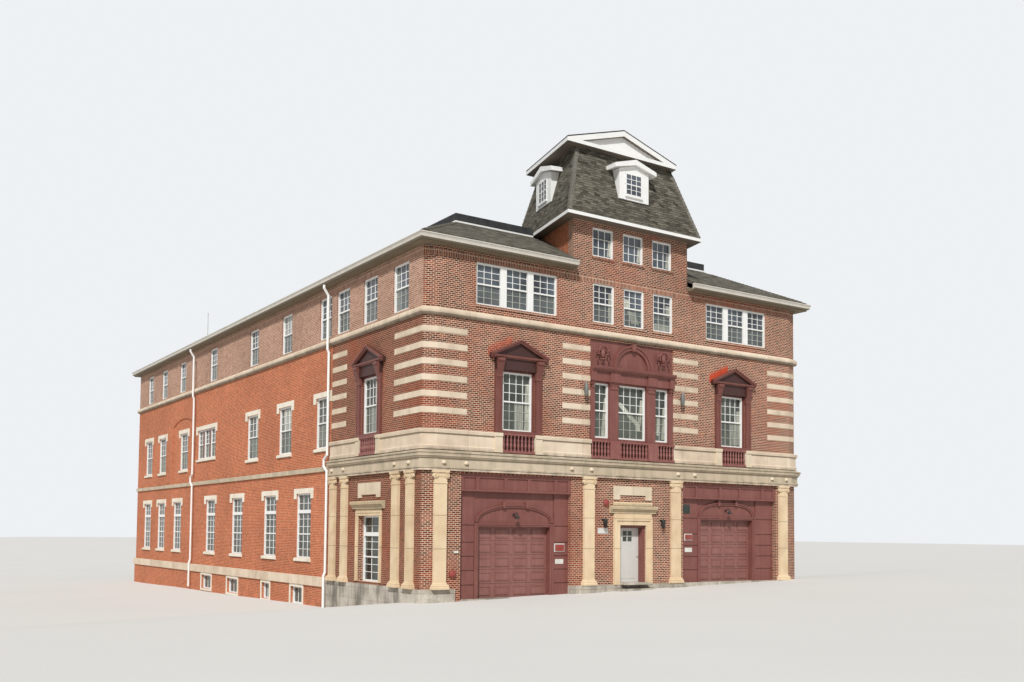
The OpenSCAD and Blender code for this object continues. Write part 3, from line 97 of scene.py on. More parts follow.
# Finishes
class Finish:
    """One material: its node tree, with short calls for the nodes that the finishes share."""

    def __init__(self, name, roughness=0.8, specular=0.3, metallic=0.0):
        self.material = bpy.data.materials.new(name)
        self.material.use_nodes = True
        self.tree = self.material.node_tree
        self.shader = self.tree.nodes["Principled BSDF"]
        self.shader.inputs["Roughness"].default_value = roughness
        self.shader.inputs["Specular IOR Level"].default_value = specular
        self.shader.inputs["Metallic"].default_value = metallic
        self.coordinates = self.node("ShaderNodeTexCoord")
        self.place = self.coordinates.outputs["Object"]

    def node(self, kind, inputs=None, **settings):
        made = self.tree.nodes.new(kind)
        for key, value in settings.items():
            setattr(made, key, value)
        for key, value in (inputs or {}).items():
            self.feed(made.inputs[key], value)
        return made

    def feed(self, socket, value):
        if isinstance(value, bpy.types.NodeSocket):
            self.tree.links.new(value, socket)
        else:
            socket.default_value = value

    def math(self, operation, first, second=0.0):
        return self.node("ShaderNodeMath", {0: first, 1: second}, operation=operation).outputs[0]

    def both(self, *shares):
        """1 where every share is 1."""
        result = shares[0]
        for share in shares[1:]:
            result = self.math("MULTIPLY", result, share)
        return result

    def above(self, value, limit):
        return self.math("GREATER_THAN", value, limit)

    def below(self, value, limit):
        return self.math("LESS_THAN", value, limit)

    def within(self, value, low, high):
        return self.both(self.above(value, low), self.below(value, high))

    def off_middle(self, x):
        """Distance from the plane that halves the building between its long sides."""
        return self.math("ABSOLUTE", self.math("SUBTRACT", x, MIDDLE_X))

    def mix(self, share, first, second, blend="MIX"):
        inputs = {0: share, 6: first, 7: second}
        return self.node("ShaderNodeMix", inputs, data_type="RGBA", blend_type=blend).outputs[2]

    def shade(self, tone, grey):
        """A colour made darker or lighter by a number."""
        return self.mix(1.0, tone, self.join(grey, grey, grey), "MULTIPLY")

    def choose(self, share, first, second):
        """First number where share is 0, second where it is 1."""
        return self.node("ShaderNodeMix", {0: share, 2: first, 3: second}).outputs[0]

    def split(self, vector):
        return self.node("ShaderNodeSeparateXYZ", {0: vector}).outputs

    def join(self, x, y, z=0.0):
        return self.node("ShaderNodeCombineXYZ", {0: x, 1: y, 2: z}).outputs[0]

    def scaled(self, vector, scale):
        return self.node("ShaderNodeMapping", {"Vector": vector, "Scale": scale}).outputs[0]

    def noise(self, scale, detail=3.0, vector=None):
        inputs = {"Vector": vector or self.place, "Scale": scale, "Detail": detail}
        return self.node("ShaderNodeTexNoise", inputs).outputs["Fac"]

    def ramp(self, value, stops):
        """Colours spread over value: stops is a list of (place, colour)."""
        made = self.node("ShaderNodeValToRGB", {0: value})
        points = made.color_ramp.elements
        while len(points) < len(stops):
            points.new(1.0)
        for point, (at, tone) in zip(points, stops):
            point.position = at
            point.color = tone
        return made.outputs["Color"]

    def range(self, value, low, high, to_low=0.0, to_high=1.0):
        inputs = {"Value": value, "From Min": low, "From Max": high, "To Min": to_low, "To Max": to_high}
        return self.node("ShaderNodeMapRange", inputs).outputs[0]

    def facing(self):
        return self.split(self.coordinates.outputs["Normal"])

    def sideways(self):
        """1 on a wall or slope that faces left or right."""
        x, y, _ = self.facing()
        return self.above(self.math("ABSOLUTE", x), self.math("ABSOLUTE", y))

    def wall_place(self, rise=1.0):
        """Metres along a wall and up it, whichever way it faces. Rise stretches the height on a slope."""
        x, y, z = self.split(self.place)
        return self.join(self.choose(self.sideways(), x, y), self.math("MULTIPLY", z, rise))

    def bricks(self, vector, width, height, joint, smooth=0.1, offset=0.5):
        """(a number from 0 to 1 for each brick, 1 in the joints)."""
        inputs = {"Vector": vector, "Color1": (0, 0, 0, 1), "Color2": (1, 1, 1, 1),
                  "Mortar": (0.5, 0.5, 0.5, 1), "Scale": 1.0, "Mortar Size": joint, "Mortar Smooth": smooth,
                  "Bias": 0.0, "Brick Width": width, "Row Height": height}
        made = self.node("ShaderNodeTexBrick", inputs, offset=offset)
        return made.outputs["Color"], made.outputs["Fac"]

    def relief(self, height, depth):
        """Bumps of the given depth in metres."""
        inputs = {"Height": height, "Distance": depth, "Strength": 1.0}
        self.feed(self.shader.inputs["Normal"], self.node("ShaderNodeBump", inputs).outputs[0])

    def paint(self, tone):
        self.feed(self.shader.inputs["Base Color"], tone)
        return self.material


# Brickwork. The length of a brick is the average of headers and stretchers
BRICK_LONG = 0.17
BRICK_HIGH = 0.0677
JOINT = 0.0105
JOINT_DEEP = 0.006
FRONT_TONES = tones("#451d12", "#763622", "#914b32", "#552417", "#a15a3f")
TOP_TONES = tones("#8a5b4b", "#a47765", "#b28674", "#926352")
NEAR_TONES = tones("#56281a", "#793d26", "#87492f", "#613223")
ORANGE_TONES = tones("#b0522d", "#c6683d", "#bb5f3b", "#a24c2b", "#cb744b")
FRONT_JOINT = colour("#d3b9a1")
ORANGE_JOINT = colour("#cf9f80")
NEAR_JOINT = colour("#b3907a")
# Length of the brown part of a long side, and the distance off the middle beyond which a face is outside
NEAR_SIDE = 7.42
OUTER_FACE = 8.9
# The course that stands on end under the soffit, and the height above which the tower's brick is darkened by
# a painted shade, with its strength
SOLDIER_LOW, SOLDIER_HIGH = 12.585, 12.80
TOWER_FOOT, TOWER_SHADE = 12.80, 0.86
# Red wash over the left slope of each front pediment: the pediment's middle and the strength, the line of
# the slope, the stretch along it, and the heights over it where the wash starts and fades
PEDIMENT_WASH = ((-5.26, 0.4), (5.30, 0.9))
PEDIMENT_HALF, PEDIMENT_FOOT, PEDIMENT_SLOPE = 1.2, 9.50, 0.45
WASH_RUN = (-0.08, 0.95)
WASH_FOOT = -0.1
WASH_FADE = (0.30, 0.16)
WASH_DEEP = 0.1


def pediment_wash(f, tone):
    """The brick's tone with a red band over the left slope of each front pediment."""
    x, y, z = f.split(f.place)
    on_front = f.below(y, FRONT_Y + WASH_DEEP)
    for middle, strength in PEDIMENT_WASH:
        run = f.math("SUBTRACT", x, middle - PEDIMENT_HALF)
        slope = f.math("ADD", f.math("MULTIPLY", run, PEDIMENT_SLOPE), PEDIMENT_FOOT)
        height = f.math("SUBTRACT", z, slope)
        near = f.both(f.within(run, *WASH_RUN), f.above(height, WASH_FOOT), f.range(height, *WASH_FADE))
        tone = f.mix(f.both(on_front, near, strength), tone, colour("#cd4a2b"))
    return tone


def brick_finish(name, orange=False, upright=False):
    """Brickwork, dark on the front. Below the belt course a long side is brown near the front and orange
    behind that, and above the belt course it is paler. Orange and upright hold for the whole of a piece."""
    f = Finish(name, roughness=0.9, specular=0.2)
    x, y, z = f.split(f.place)
    flat = f.wall_place()
    along, up, _ = f.split(flat)
    lying_chance, lying_joints = f.bricks(flat, BRICK_LONG, BRICK_HIGH, JOINT)
    chance_up, joints_up = f.bricks(f.join(up, along), BRICK_LONG, BRICK_HIGH, JOINT, offset=0.0)
    on_end = 1.0 if upright else f.within(z, SOLDIER_LOW, SOLDIER_HIGH)
    chance = f.mix(on_end, lying_chance, chance_up)
    joints = f.choose(on_end, lying_joints, joints_up)
    behind = f.above(y, FRONT_Y + NEAR_SIDE)
    low = f.below(z, BELT_Z)
    outside = f.above(f.off_middle(x), OUTER_FACE)
    on_side = f.sideways()
    orange_share = 1.0 if orange else f.both(behind, low)
    near_share = f.both(f.math("SUBTRACT", 1.0, behind), low, outside, on_side)
    top_share = f.both(f.above(z, BELT_Z), on_side)
    brick = f.mix(near_share, f.ramp(chance, FRONT_TONES), f.ramp(chance, NEAR_TONES))
    brick = f.mix(top_share, brick, f.ramp(chance, TOP_TONES))
    brick = f.mix(orange_share, brick, f.ramp(chance, ORANGE_TONES))
    mortar = f.mix(near_share, f.mix(orange_share, FRONT_JOINT, ORANGE_JOINT), NEAR_JOINT)
    tone = f.mix(joints, brick, mortar)
    rust = f.range(f.noise(0.45, 4), 0.48, 0.72, 0.0, 0.4)
    clean = f.math("MAXIMUM", orange_share, top_share)
    tone = f.mix(f.both(rust, f.math("SUBTRACT", 1.0, clean)), tone, colour("#a5492b"))
    tone = pediment_wash(f, tone)
    worn = f.range(f.noise(0.35, 4), 0.35, 0.7, 0.88, 1.1)
    mottled = f.range(f.noise(4.0, 3), 0.3, 0.7, 0.9, 1.1)
    # Above the foot of the tower the brick is darkened: a painted shade
    painted_tower_shade = f.choose(f.above(z, TOWER_FOOT), 1.0, TOWER_SHADE)
    f.relief(f.math("SUBTRACT", 1.0, joints), JOINT_DEEP)
    return f.paint(f.shade(tone, f.both(worn, mottled, painted_tower_shade)))


# Stone. A block is (length, height): a whole one is larger than the pieces, so hardly a joint falls on them
WHOLE = (9.0, 9.0)
BAND_BLOCK = (2.44, 5.0)
PLINTH_BLOCK = (1.3, 0.42)
STONE_JOINT = 0.005
# Low and high edge of each ledge that rain has dirtied, and how far the darkening reaches under and over it:
# rain dirt, and under a ledge also a painted shade
LEDGES = [(4.66, 4.72), (5.34, 5.42), (5.98, 6.08), (10.52, 10.60)]
DIRT_AND_SHADE_UNDER, DIRT_OVER = 0.16, 0.10
# Low and high edge of the frieze, which is made paler as a painted light against the cornice's shadow, and
# of the parts with lichen
FRIEZE = (4.70, 5.36)
CORNICE_TOP = (5.44, 6.04)
DOOR_CORNICES = (4.03, 4.42)
# Heights of the joints in the pilaster shafts, and half the joint
SHAFT_JOINTS = (2.74, 3.85)
SHAFT_JOINT_HALF = 0.012
# How much of the joint's tone shows between blocks and between parts of a shaft
JOINT_SHARE, SHAFT_JOINT_SHARE = 0.6, 0.7


def ledge_stains_painted_light_and_shade(f, tone, streaks, strength):
    """The stone's tone with the frieze made paler, a painted light against the cornice's shadow, and grey
    round each ledge that is rain dirt and, under the ledge, also a painted shade.
    """
    z = f.split(f.place)[2]
    # The frieze is made paler: a painted light against the shadow of the cornice
    tone = f.mix(f.math("MULTIPLY", f.within(z, *FRIEZE), 0.75), tone, colour("#fbead0"))
    worn = f.math("ADD", f.noise(2.4, 4), f.math("MULTIPLY", streaks, 0.5))
    for low, high in LEDGES:
        near = f.both(f.range(z, low - DIRT_AND_SHADE_UNDER, low), f.range(z, high + DIRT_OVER, high))
        share = f.math("MULTIPLY", near, f.range(worn, 0.55, 0.95, 0.05, strength))
        tone = f.mix(share, tone, colour("#6f6656"))
    return tone


def granite_grains(f, tone, streaks, speckle, soot_share):
    """The stone's tone with dark grains and patches of soot."""
    tone = f.mix(f.range(f.noise(60, 2), 0.45, 0.62, 0.0, speckle), tone, colour("#5f5b55"))
    patches = f.noise(0.8, 4, f.scaled(f.place, (1.6, 1.6, 0.7)))
    soot = f.math("ADD", patches, f.math("MULTIPLY", streaks, 0.4))
    return f.mix(f.range(soot, 0.70, 0.92, 0.0, soot_share), tone, colour("#4a453e"))


def stone_finish(name, stone_tones, joint_tone, block=WHOLE, speckle=0.0, dirt=0.0, ledge_dirt_and_shade=0.0,
                 shafts=False, lichen=None):
    """Dressed stone in blocks, with rain streaks, and faces that look down darkened by a painted shade.
    Speckle is the strength of granite's grains, dirt that of the stains, and the ledge strength that of the
    grey round the ledges, which is rain dirt and partly a painted shade, and which brings the frieze's
    painted light. Shafts adds the pilasters' joints, and lichen is a low and a high edge."""
    f = Finish(name, roughness=0.82, specular=0.25)
    z = f.split(f.place)[2]
    chance, joints = f.bricks(f.wall_place(), *block, STONE_JOINT, 0.0, 0.0)
    clouds = f.noise(1.6, 5)
    tone = f.ramp(f.range(f.math("ADD", clouds, f.math("MULTIPLY", chance, 0.25)), 0.35, 0.9), stone_tones)
    streaks = f.noise(1.0, 4, f.scaled(f.place, (5.0, 5.0, 0.45)))
    tone = f.mix(f.range(streaks, 0.55, 0.85, 0.0, 0.2 + dirt), tone, joint_tone)
    if ledge_dirt_and_shade:
        tone = ledge_stains_painted_light_and_shade(f, tone, streaks, ledge_dirt_and_shade)
    if lichen:
        spread = f.range(f.math("ADD", clouds, f.math("MULTIPLY", streaks, 0.4)), 0.5, 0.9, 0.1, 0.75)
        tone = f.mix(f.both(f.within(z, *lichen), spread), tone, colour("#9d9278"))
    if speckle:
        tone = granite_grains(f, tone, streaks, speckle, 2 * dirt)
    tone = f.mix(f.math("MULTIPLY", joints, JOINT_SHARE), tone, joint_tone)
    if shafts:
        for at in SHAFT_JOINTS:
            in_joint = f.within(z, at - SHAFT_JOINT_HALF, at + SHAFT_JOINT_HALF)
            tone = f.mix(f.math("MULTIPLY", in_joint, SHAFT_JOINT_SHARE), tone, joint_tone)
    # Faces that look down are darkened: a painted shade
    underside = f.below(f.facing()[2], -0.4)
    tone = f.mix(f.math("MULTIPLY", underside, 0.55), tone, colour("#4a4236"))
    f.relief(f.math("SUBTRACT", f.math("MULTIPLY", f.noise(45, 2), 0.3), joints), 0.004)
    return f.paint(tone)


# Painted timber and metal. This near to the left face, depth is measured from it and not from the front
CORNER_REACH = 1


def paint_finish(name, tone, worn_tone, roughness=0.55, wear=0.35, scale=3.0, painted_recess_shade=None, painted_shade_under=None):
    """Paint with faded and dirty patches. The recess shade is (distance out of the wall, height, share):
    nearer to the wall and higher than that, a painted shade darkens the paint. The shade under is the tone
    of a painted shade on faces that look down."""
    f = Finish(name, roughness=roughness, specular=0.4)
    patches = f.noise(scale, 5)
    streaks = f.noise(2.0, 3, f.scaled(f.place, (4.0, 4.0, 0.5)))
    share = f.range(f.math("ADD", patches, streaks), 0.85, 1.35, 0.0, wear)
    f.relief(f.noise(30, 2), 0.0015)
    painted = f.mix(share, colour(tone), colour(worn_tone))
    # A painted shade darkens recesses: nearer to the wall and higher than the given height
    if painted_recess_shade:
        x, y, z = f.split(f.place)
        on_left = f.below(x, LEFT_X + CORNER_REACH)
        depth = f.choose(on_left, f.math("SUBTRACT", y, FRONT_Y), f.math("SUBTRACT", x, LEFT_X))
        recess_shade_share = f.both(f.above(depth, -painted_recess_shade[0]), f.above(z, painted_recess_shade[1]), painted_recess_shade[2])
        painted = f.mix(recess_shade_share, painted, colour("#231312"))
    # Faces that look down take a painted shade
    if painted_shade_under:
        painted = f.mix(f.below(f.facing()[2], -0.5), painted, colour(painted_shade_under))
    return f.paint(painted)


# Soffit boards. Farther off the middle than the edge, a point is under the eaves of a long side
EAVES_EDGE = 9.05
RIBS_A_METRE = 7.5


def soffit_finish():
    """Vented soffit boards: narrow ribs across the overhang, in dark tones that are a painted shade under
    it.
    """
    f = Finish("soffit_boards", roughness=0.7, specular=0.3)
    x, y, _ = f.split(f.place)
    on_side = f.above(f.off_middle(x), EAVES_EDGE)
    along = f.choose(on_side, x, y)
    wave = f.math("FRACT", f.math("MULTIPLY", along, RIBS_A_METRE))
    rib = f.math("ABSOLUTE", f.math("SUBTRACT", wave, 0.5))
    groove = f.range(rib, 0.0, 0.16, 1.0, 0.0)
    dust = f.range(f.noise(1.4, 4), 0.35, 0.7, 0.0, 0.4)
    # The boards' tones are dark: a painted shade under the overhang, with darker dust patches
    tone = f.mix(dust, colour("#83755f"), colour("#665a48"))
    f.relief(f.math("SUBTRACT", 1.0, groove), 0.006)
    return f.paint(f.mix(f.math("MULTIPLY", groove, 0.75), tone, colour("#352d24")))


# Shingles: width of a tab, height of a course, gap between tabs, waver and drift of the lower edge, and the
# stretch of a course, as shares of its height, over which it falls into shadow
SHINGLE_TAB = 0.27
SHINGLE_ROW = 0.11
SHINGLE_GAP = 0.006
SHINGLE_WAVER, SHINGLE_DRIFT = 0.014, 0.02
SHINGLE_SHADOW = (0.62, 0.9)
SHINGLE_TONES = tones("#3f3c33", "#645f54", "#7d776a", "#4f4b42", "#716c61")
ROOF_SLOPE, MANSARD_SLOPE = 26.57, 71.0


def shingle_finish(name, slope_degrees):
    """Courses of asphalt shingles on a slope, in mixed greys, with a wavering lower edge."""
    f = Finish(name, roughness=0.95, specular=0.15)
    rise = 1 / math.sin(math.radians(slope_degrees))
    along, up, _ = f.split(f.wall_place(rise))
    wave = f.math("SINE", f.math("MULTIPLY", along, 2 * math.pi / SHINGLE_TAB))
    waver = f.math("MULTIPLY", wave, SHINGLE_WAVER)
    drift = f.range(f.noise(2.6, 2), 0.3, 0.7, -SHINGLE_DRIFT, SHINGLE_DRIFT)
    vector = f.join(along, f.math("ADD", up, f.math("ADD", waver, drift)))
    chance, gaps = f.bricks(vector, SHINGLE_TAB, SHINGLE_ROW, SHINGLE_GAP, 0.3)
    row = f.math("FRACT", f.math("DIVIDE", f.split(vector)[1], SHINGLE_ROW))
    painted_shade_under = f.range(row, *SHINGLE_SHADOW)
    grit = f.range(f.noise(30, 2), 0.3, 0.7, 0.85, 1.12)
    clouds = f.range(f.noise(0.9, 3), 0.35, 0.7, 0.92, 1.08)
    tone = f.shade(f.ramp(chance, SHINGLE_TONES), f.math("MULTIPLY", grit, clouds))
    ragged = f.range(f.noise(9.0, 2), 0.35, 0.6, 0.35, 0.95)
    tone = f.mix(f.both(painted_shade_under, ragged), tone, colour("#26241f"))
    tone = f.mix(f.math("MULTIPLY", gaps, 0.3), tone, colour("#35332e"))
    f.relief(f.math("SUBTRACT", 1.0, f.math("MAXIMUM", gaps, painted_shade_under)), 0.012)
    return f.paint(tone)


def plain_finish(name, tone, roughness=0.6, metallic=0.0, grain=0.12):
    """One tone with slight clouds, for small fittings, floors and membranes."""
    f = Finish(name, roughness=roughness, specular=0.35, metallic=metallic)
    share = f.range(f.noise(4, 4), 0.3, 0.7, 0.0, grain)
    return f.paint(f.mix(share, colour(tone), colour("#8a8780")))


# Glass. Curtains on the front: left and right edge, sill and head, lean to the right a metre up, strength
FRONT_CURTAINS = [
    (-5.32, -4.95, 6.90, 7.86, 0.0, 0.55),
    (-4.90, -4.71, 6.90, 8.55, 0.03, 0.8),
    (-1.40, -1.20, 6.90, 8.35, 0.10, 0.75),
    (0.28, 0.54, 7.42, 8.24, -1.20, 0.95),
    (0.30, 0.52, 7.20, 7.42, 0.0, 0.8),
    (0.38, 0.54, 7.42, 8.40, 0.14, 0.75),
    (1.36, 1.52, 7.10, 7.85, 0.0, 0.8),
    (1.60, 1.76, 6.95, 8.20, 0.06, 0.7),
    (5.30, 5.84, 6.95, 7.80, 0.06, 0.45),
    (5.58, 5.84, 7.80, 8.35, 0.2, 0.5),
    (-1.12, -0.99, 11.20, 12.30, 0.0, 0.6),
    (-0.36, -0.06, 11.88, 12.20, 0.0, 0.85),
    (0.02, 0.40, 11.30, 11.75, -0.5, 0.45),
    (1.76, 1.95, 11.75, 12.20, 0.0, 0.6),
    (1.10, 1.94, 11.20, 11.45, 0.0, 0.55),
    (-1.20, -1.04, 13.70, 14.30, 0.12, 0.75),
    (0.26, 0.43, 13.70, 14.30, 0.12, 0.75),
    (1.73, 1.90, 13.70, 14.30, 0.12, 0.65),
]
# Curtains on the left side: edge towards the front and towards the rear, sill and head, lean, strength
SIDE_CURTAINS = [
    (-15.02, -14.62, 7.95, 8.80, 0.0, 0.75),
    (-14.9, -14.3, 6.92, 7.85, 0.0, 0.35),
    (-10.25, -9.55, 6.70, 7.50, 0.0, 0.2),
    (-6.80, -5.75, 7.62, 8.50, 0.0, 0.7),
    (-2.6, -2.3, 7.62, 8.5, 0.0, 0.8),
    (-16.45, -15.45, 11.0, 12.4, 0.0, 0.35),
    (-13.3, -12.4, 11.8, 12.5, 0.0, 0.5),
    (-6.7, -5.7, 11.8, 12.5, 0.0, 0.5),
]
LOWER_SASHES = [(6.60, 7.84), (10.90, 11.82)]
# Depth behind the front and behind the left face within which a pane is theirs
FRONT_GLASS, LEFT_GLASS = 0.5, 0.6


def glass_finish():
    """Window glass, opaque: below the belt course a painted shade of dark rooms, above it a painted
    reflection of the sky, pale curtains painted behind it, and insect screens over the lower sashes.
    """
    f = Finish("window_glass", roughness=0.08, specular=0.5)
    x, y, z = f.split(f.place)
    on_front = f.below(y, FRONT_Y + FRONT_GLASS)
    on_left = f.both(f.below(x, LEFT_X + LEFT_GLASS), f.above(y, FRONT_Y + FRONT_GLASS))
    clouds = f.range(f.noise(0.9, 2), 0.35, 0.65)
    # Dark rooms below the belt course are a painted shade, and the sky tone above it a painted reflection
    painted_room_shade = f.mix(clouds, colour("#282c26"), colour("#4b5046"))
    sky = f.mix(clouds, colour("#2c3238"), colour("#565e66"))
    tone = f.mix(f.above(z, BELT_Z), painted_room_shade, sky)
    folds = f.noise(7.0, 2, f.scaled(f.place, (3.0, 3.0, 0.25)))
    cloth = f.ramp(f.range(folds, 0.35, 0.65), tones("#9a9c8b", "#d8d7c8"))
    for where, along, curtains in ((on_front, x, FRONT_CURTAINS), (on_left, y, SIDE_CURTAINS)):
        for low, high, sill, head, lean, strength in curtains:
            leaning = f.math("MULTIPLY", f.math("SUBTRACT", z, sill), lean)
            straight = f.math("SUBTRACT", along, leaning)
            inside = f.both(where, f.within(straight, low, high), f.within(z, sill, head))
            tone = f.mix(f.math("MULTIPLY", inside, strength), tone, cloth)
    mesh = f.range(f.noise(3.0, 2), 0.3, 0.7, 0.15, 0.36)
    for low, high in LOWER_SASHES:
        tone = f.mix(f.both(f.within(z, low, high), mesh), tone, colour("#74776a"))
    f.relief(f.noise(1.2, 1), 0.008)
    return f.paint(tone)


def make_bricks_and_stones():
    cream = tones("#d0b592", "#e1c9a6", "#ead4b2")
    carved = tones("#cdbca2", "#dccbb1", "#e4d6bf")
    weathered = tones("#c8b49c", "#dac7af", "#e5d4be")
    grey = tones("#aca394", "#cbc1b2", "#dfd7c9")
    white = tones("#ddd2bc", "#ebe2d0", "#f1eadb")
    cream_joint = colour("#8d7d64")
    return {
        "brick": brick_finish("brick"),
        "orange_brick": brick_finish("orange_brick", orange=True),
        "sill_brick": brick_finish("sill_brick", upright=True),
        "limestone": stone_finish("limestone", cream, cream_joint, dirt=-0.08, shafts=True),
        "carved_stone": stone_finish("carved_stone", carved, colour("#9a8b72")),
        "weathered_stone": stone_finish("weathered_stone", weathered, colour("#7b6e59"), BAND_BLOCK,
                                        dirt=0.05, ledge_dirt_and_shade=0.55, lichen=CORNICE_TOP),
        "door_stone": stone_finish("door_stone", cream, cream_joint, dirt=-0.08, shafts=True,
                                   lichen=DOOR_CORNICES),
        "white_stone": stone_finish("white_stone", white, colour("#b3a78f"), dirt=-0.1),
        "granite": stone_finish("granite", grey, colour("#5f574b"), PLINTH_BLOCK, speckle=0.45, dirt=0.35),
        "step_stone": stone_finish("step_stone", grey, colour("#7d7466"), speckle=0.3, dirt=0.1),
    }


def make_paints():
    maroon = {"wear": 0.45, "scale": 2.2}
    return {
        "maroon": paint_finish("maroon_timber", "#794942", "#926358", **maroon),
        # The pediments' paint is darker than the maroon, a painted shade, and deeper in them a painted shade
        # darkens it more; the same darkens the gaps behind the balusters
        "pediment": paint_finish("pediment_timber", "#6f4139", "#87594f", **maroon, painted_recess_shade=(0.13, 8.93, 0.75)),
        "balusters": paint_finish("baluster_timber", "#85514a", "#a0716a", 0.5, 0.5, 4.0,
                                  painted_recess_shade=(0.015, 6.1, 0.85)),
        # The eaves and gutters take a painted shade on faces that look down
        "eaves": paint_finish("eaves_timber", "#eeede9", "#d3d0c8", 0.5, 0.25, painted_shade_under="#6e6459"),
        "garage_red": paint_finish("garage_red", "#865850", "#9c7168", 0.5, 0.5, 1.2),
        "white": paint_finish("white_timber", "#eeede9", "#d3d0c8", 0.5, 0.25),
        "gutter_grey": paint_finish("gutter_metal", "#cfc9be", "#b0a797", 0.5, 0.4, 1.5, painted_shade_under="#7d715f"),
        "screen_white": paint_finish("screened_bars", "#c3c5bb", "#a8aaa0", 0.6, 0.4),
        "door_grey": paint_finish("door_grey", "#cfccc6", "#b5b1a9", 0.45, 0.4),
        "soffit": soffit_finish(),
    }


def make_finishes():
    return {
        **make_bricks_and_stones(),
        **make_paints(),
        "roof": shingle_finish("roof_shingles", ROOF_SLOPE),
        "mansard": shingle_finish("mansard_shingles", MANSARD_SLOPE),
        "hip_cap": plain_finish("hip_caps", "#686358", 0.95, grain=0.5),
        "membrane": plain_finish("roof_membrane", "#2a2b2e", 0.85),
        "slab": plain_finish("floor_concrete", "#8d8a84", 0.9),
        "glass": glass_finish(),
        "iron": plain_finish("black_iron", "#232221", 0.5, metallic=0.4),
        "lamp_grey": plain_finish("lamp_grey", "#6f706c", 0.5, metallic=0.3, grain=0.3),
        "bell_red": plain_finish("bell_red", "#94382f", 0.4, grain=0.25),
        "metal": plain_finish("antenna_metal", "#c9c9c6", 0.4, metallic=0.6),
        "dark_green": plain_finish("dark_green_plate", "#263229", 0.5, grain=0.2),
        "plate": plain_finish("blank_plates", "#e4e1d8", 0.5, grain=0.3),
    }


NODE_FINISHES = {
    "brick": ["side_foundations", "rear_foundation", "front_piers", "front_header", "front_wall_second",
              "centre_wall", "front_wall_third", "left_wall", "right_wall", "rear_wall", "tower_front_wall"],
    "sill_brick": ["brick_sills"],
    "orange_brick": ["tower_back_walls"],
    "granite": ["front_foundation"],
    "step_stone": ["entrance_step"],
    "limestone": ["pilasters"],
    "door_stone": ["stone_surrounds"],
    "weathered_stone": ["entablature", "pedestal_course", "stone_bands", "stone_stripes"],
    "carved_stone": ["stone_ornaments"],
    "white_stone": ["window_lintels", "window_sills"],
    "maroon": ["centre_bay", "garage_surrounds", "entrance_frame"],
    "pediment": ["pediment_surrounds"],
    "balusters": ["balustrades"],
    "garage_red": ["garage_doors"],
    "door_grey": ["entrance_door"],
    "gutter_grey": ["gutters"],
    "white": ["front_window_frames", "side_window_frames", "drip_edge", "dormers", "downspouts"],
    "eaves": ["tower_eave", "tower_gable"],
    "soffit": ["soffits"],
    "roof": ["end_roof_slopes", "side_roof_slopes"],
    "mansard": ["mansard_roof"],
    "membrane": ["roof_deck", "tower_roof"],
    "slab": ["ground_floor", "upper_floors"],
    "glass": ["window_glass", "entrance_door_glass"],
    "iron": ["wall_lamps"],
    "lamp_grey": ["bay_lamps"],
    "bell_red": ["alarm_bells"],
    "metal": ["antenna"],
}


def dress_nodes(finishes):
    for finish, names in NODE_FINISHES.items():
        for name in names:
            NODES[name].data.materials.clear()
            NODES[name].data.materials.append(finishes[finish])


# Mesh helpers
BALL_SEGMENTS, BALL_RINGS = 12, 6
# A wall whose normal has more than this along an axis faces that way
SQUARE_ON = 0.9


def mesh_piece(name, mesh, finish, body=BODY):
    """Turns a bmesh into an object that rides on a body."""
    data = bpy.data.meshes.new(name)
    mesh.to_mesh(data)
    mesh.free()
    data.materials.append(finish)
    piece = bpy.data.objects.new(name, data)
    bpy.context.scene.collection.objects.link(piece)
    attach(piece, body)


class Face:
    """A place on a wall: u runs to the right as seen from outside, v up and w out of the wall."""

    def __init__(self, origin, outward, wide=0.0, tall=0.0):
        self.wide, self.tall = wide, tall
        self.origin = Vector(origin)
        self.out = Vector(outward).normalized()
        self.up = Vector((0, 0, 1))
        self.along = self.up.cross(self.out)

    def at(self, u, v, w):
        return self.origin + self.along * u + self.up * v + self.out * w

    def turn(self):
        return Matrix((self.along, self.up, self.out)).transposed().to_4x4()

    def on_long_side(self):
        return abs(self.out.x) > SQUARE_ON

    def box(self, mesh, us, vs, ws):
        """A box over the ranges us, vs and ws."""
        middle = self.at(sum(us) / 2, sum(vs) / 2, sum(ws) / 2)
        size = [abs(b - a) for a, b in (us, vs, ws)]
        place = Matrix.Translation(middle) @ self.turn() @ Matrix.Diagonal((*size, 1.0))
        bmesh.ops.create_cube(mesh, size=1.0, matrix=place)

    def ball(self, mesh, middle, radii, tilt=0.0):
        """An oval boss round a point (u, v, w), turned by tilt degrees in the plane of the wall."""
        place = Matrix.Translation(self.at(*middle)) @ self.turn()
        place = place @ Matrix.Rotation(math.radians(tilt), 4, "Z") @ Matrix.Diagonal((*radii, 1.0))
        bmesh.ops.create_uvsphere(mesh, u_segments=BALL_SEGMENTS, v_segments=BALL_RINGS, radius=1.0,
                                  matrix=place)


def groups(node):
    """(points, normal of the largest face) of each separate solid of a CAD node."""
    data = NODES[node].data
    points = np.array([v.co for v in data.vertices])
    keys, place = np.unique(np.round(points, 4), axis=0, return_inverse=True)
    place = place.ravel()
    group = np.arange(len(keys))
    corners = np.array([[place[i] for i in list(p.vertices)[:3]] for p in data.polygons])
    changed = True
    while changed:
        lowest = group[corners].min(axis=1)
        before = group.copy()
        for column in range(3):
            np.minimum.at(group, corners[:, column], lowest)
        group = group[group]
        changed = not np.array_equal(before, group)
    areas = np.array([p.area for p in data.polygons])
    normals = np.array([p.normal for p in data.polygons])
    owner = group[corners[:, 0]]
    found = []
    for g in np.unique(group):
        own = owner == g
        largest = np.argmax(np.where(own, areas, -1.0))
        found.append((keys[group == g], normals[largest]))
    return found


# Panes above this height are those of the dormers
TOWER_ROOF_Z = 15.0


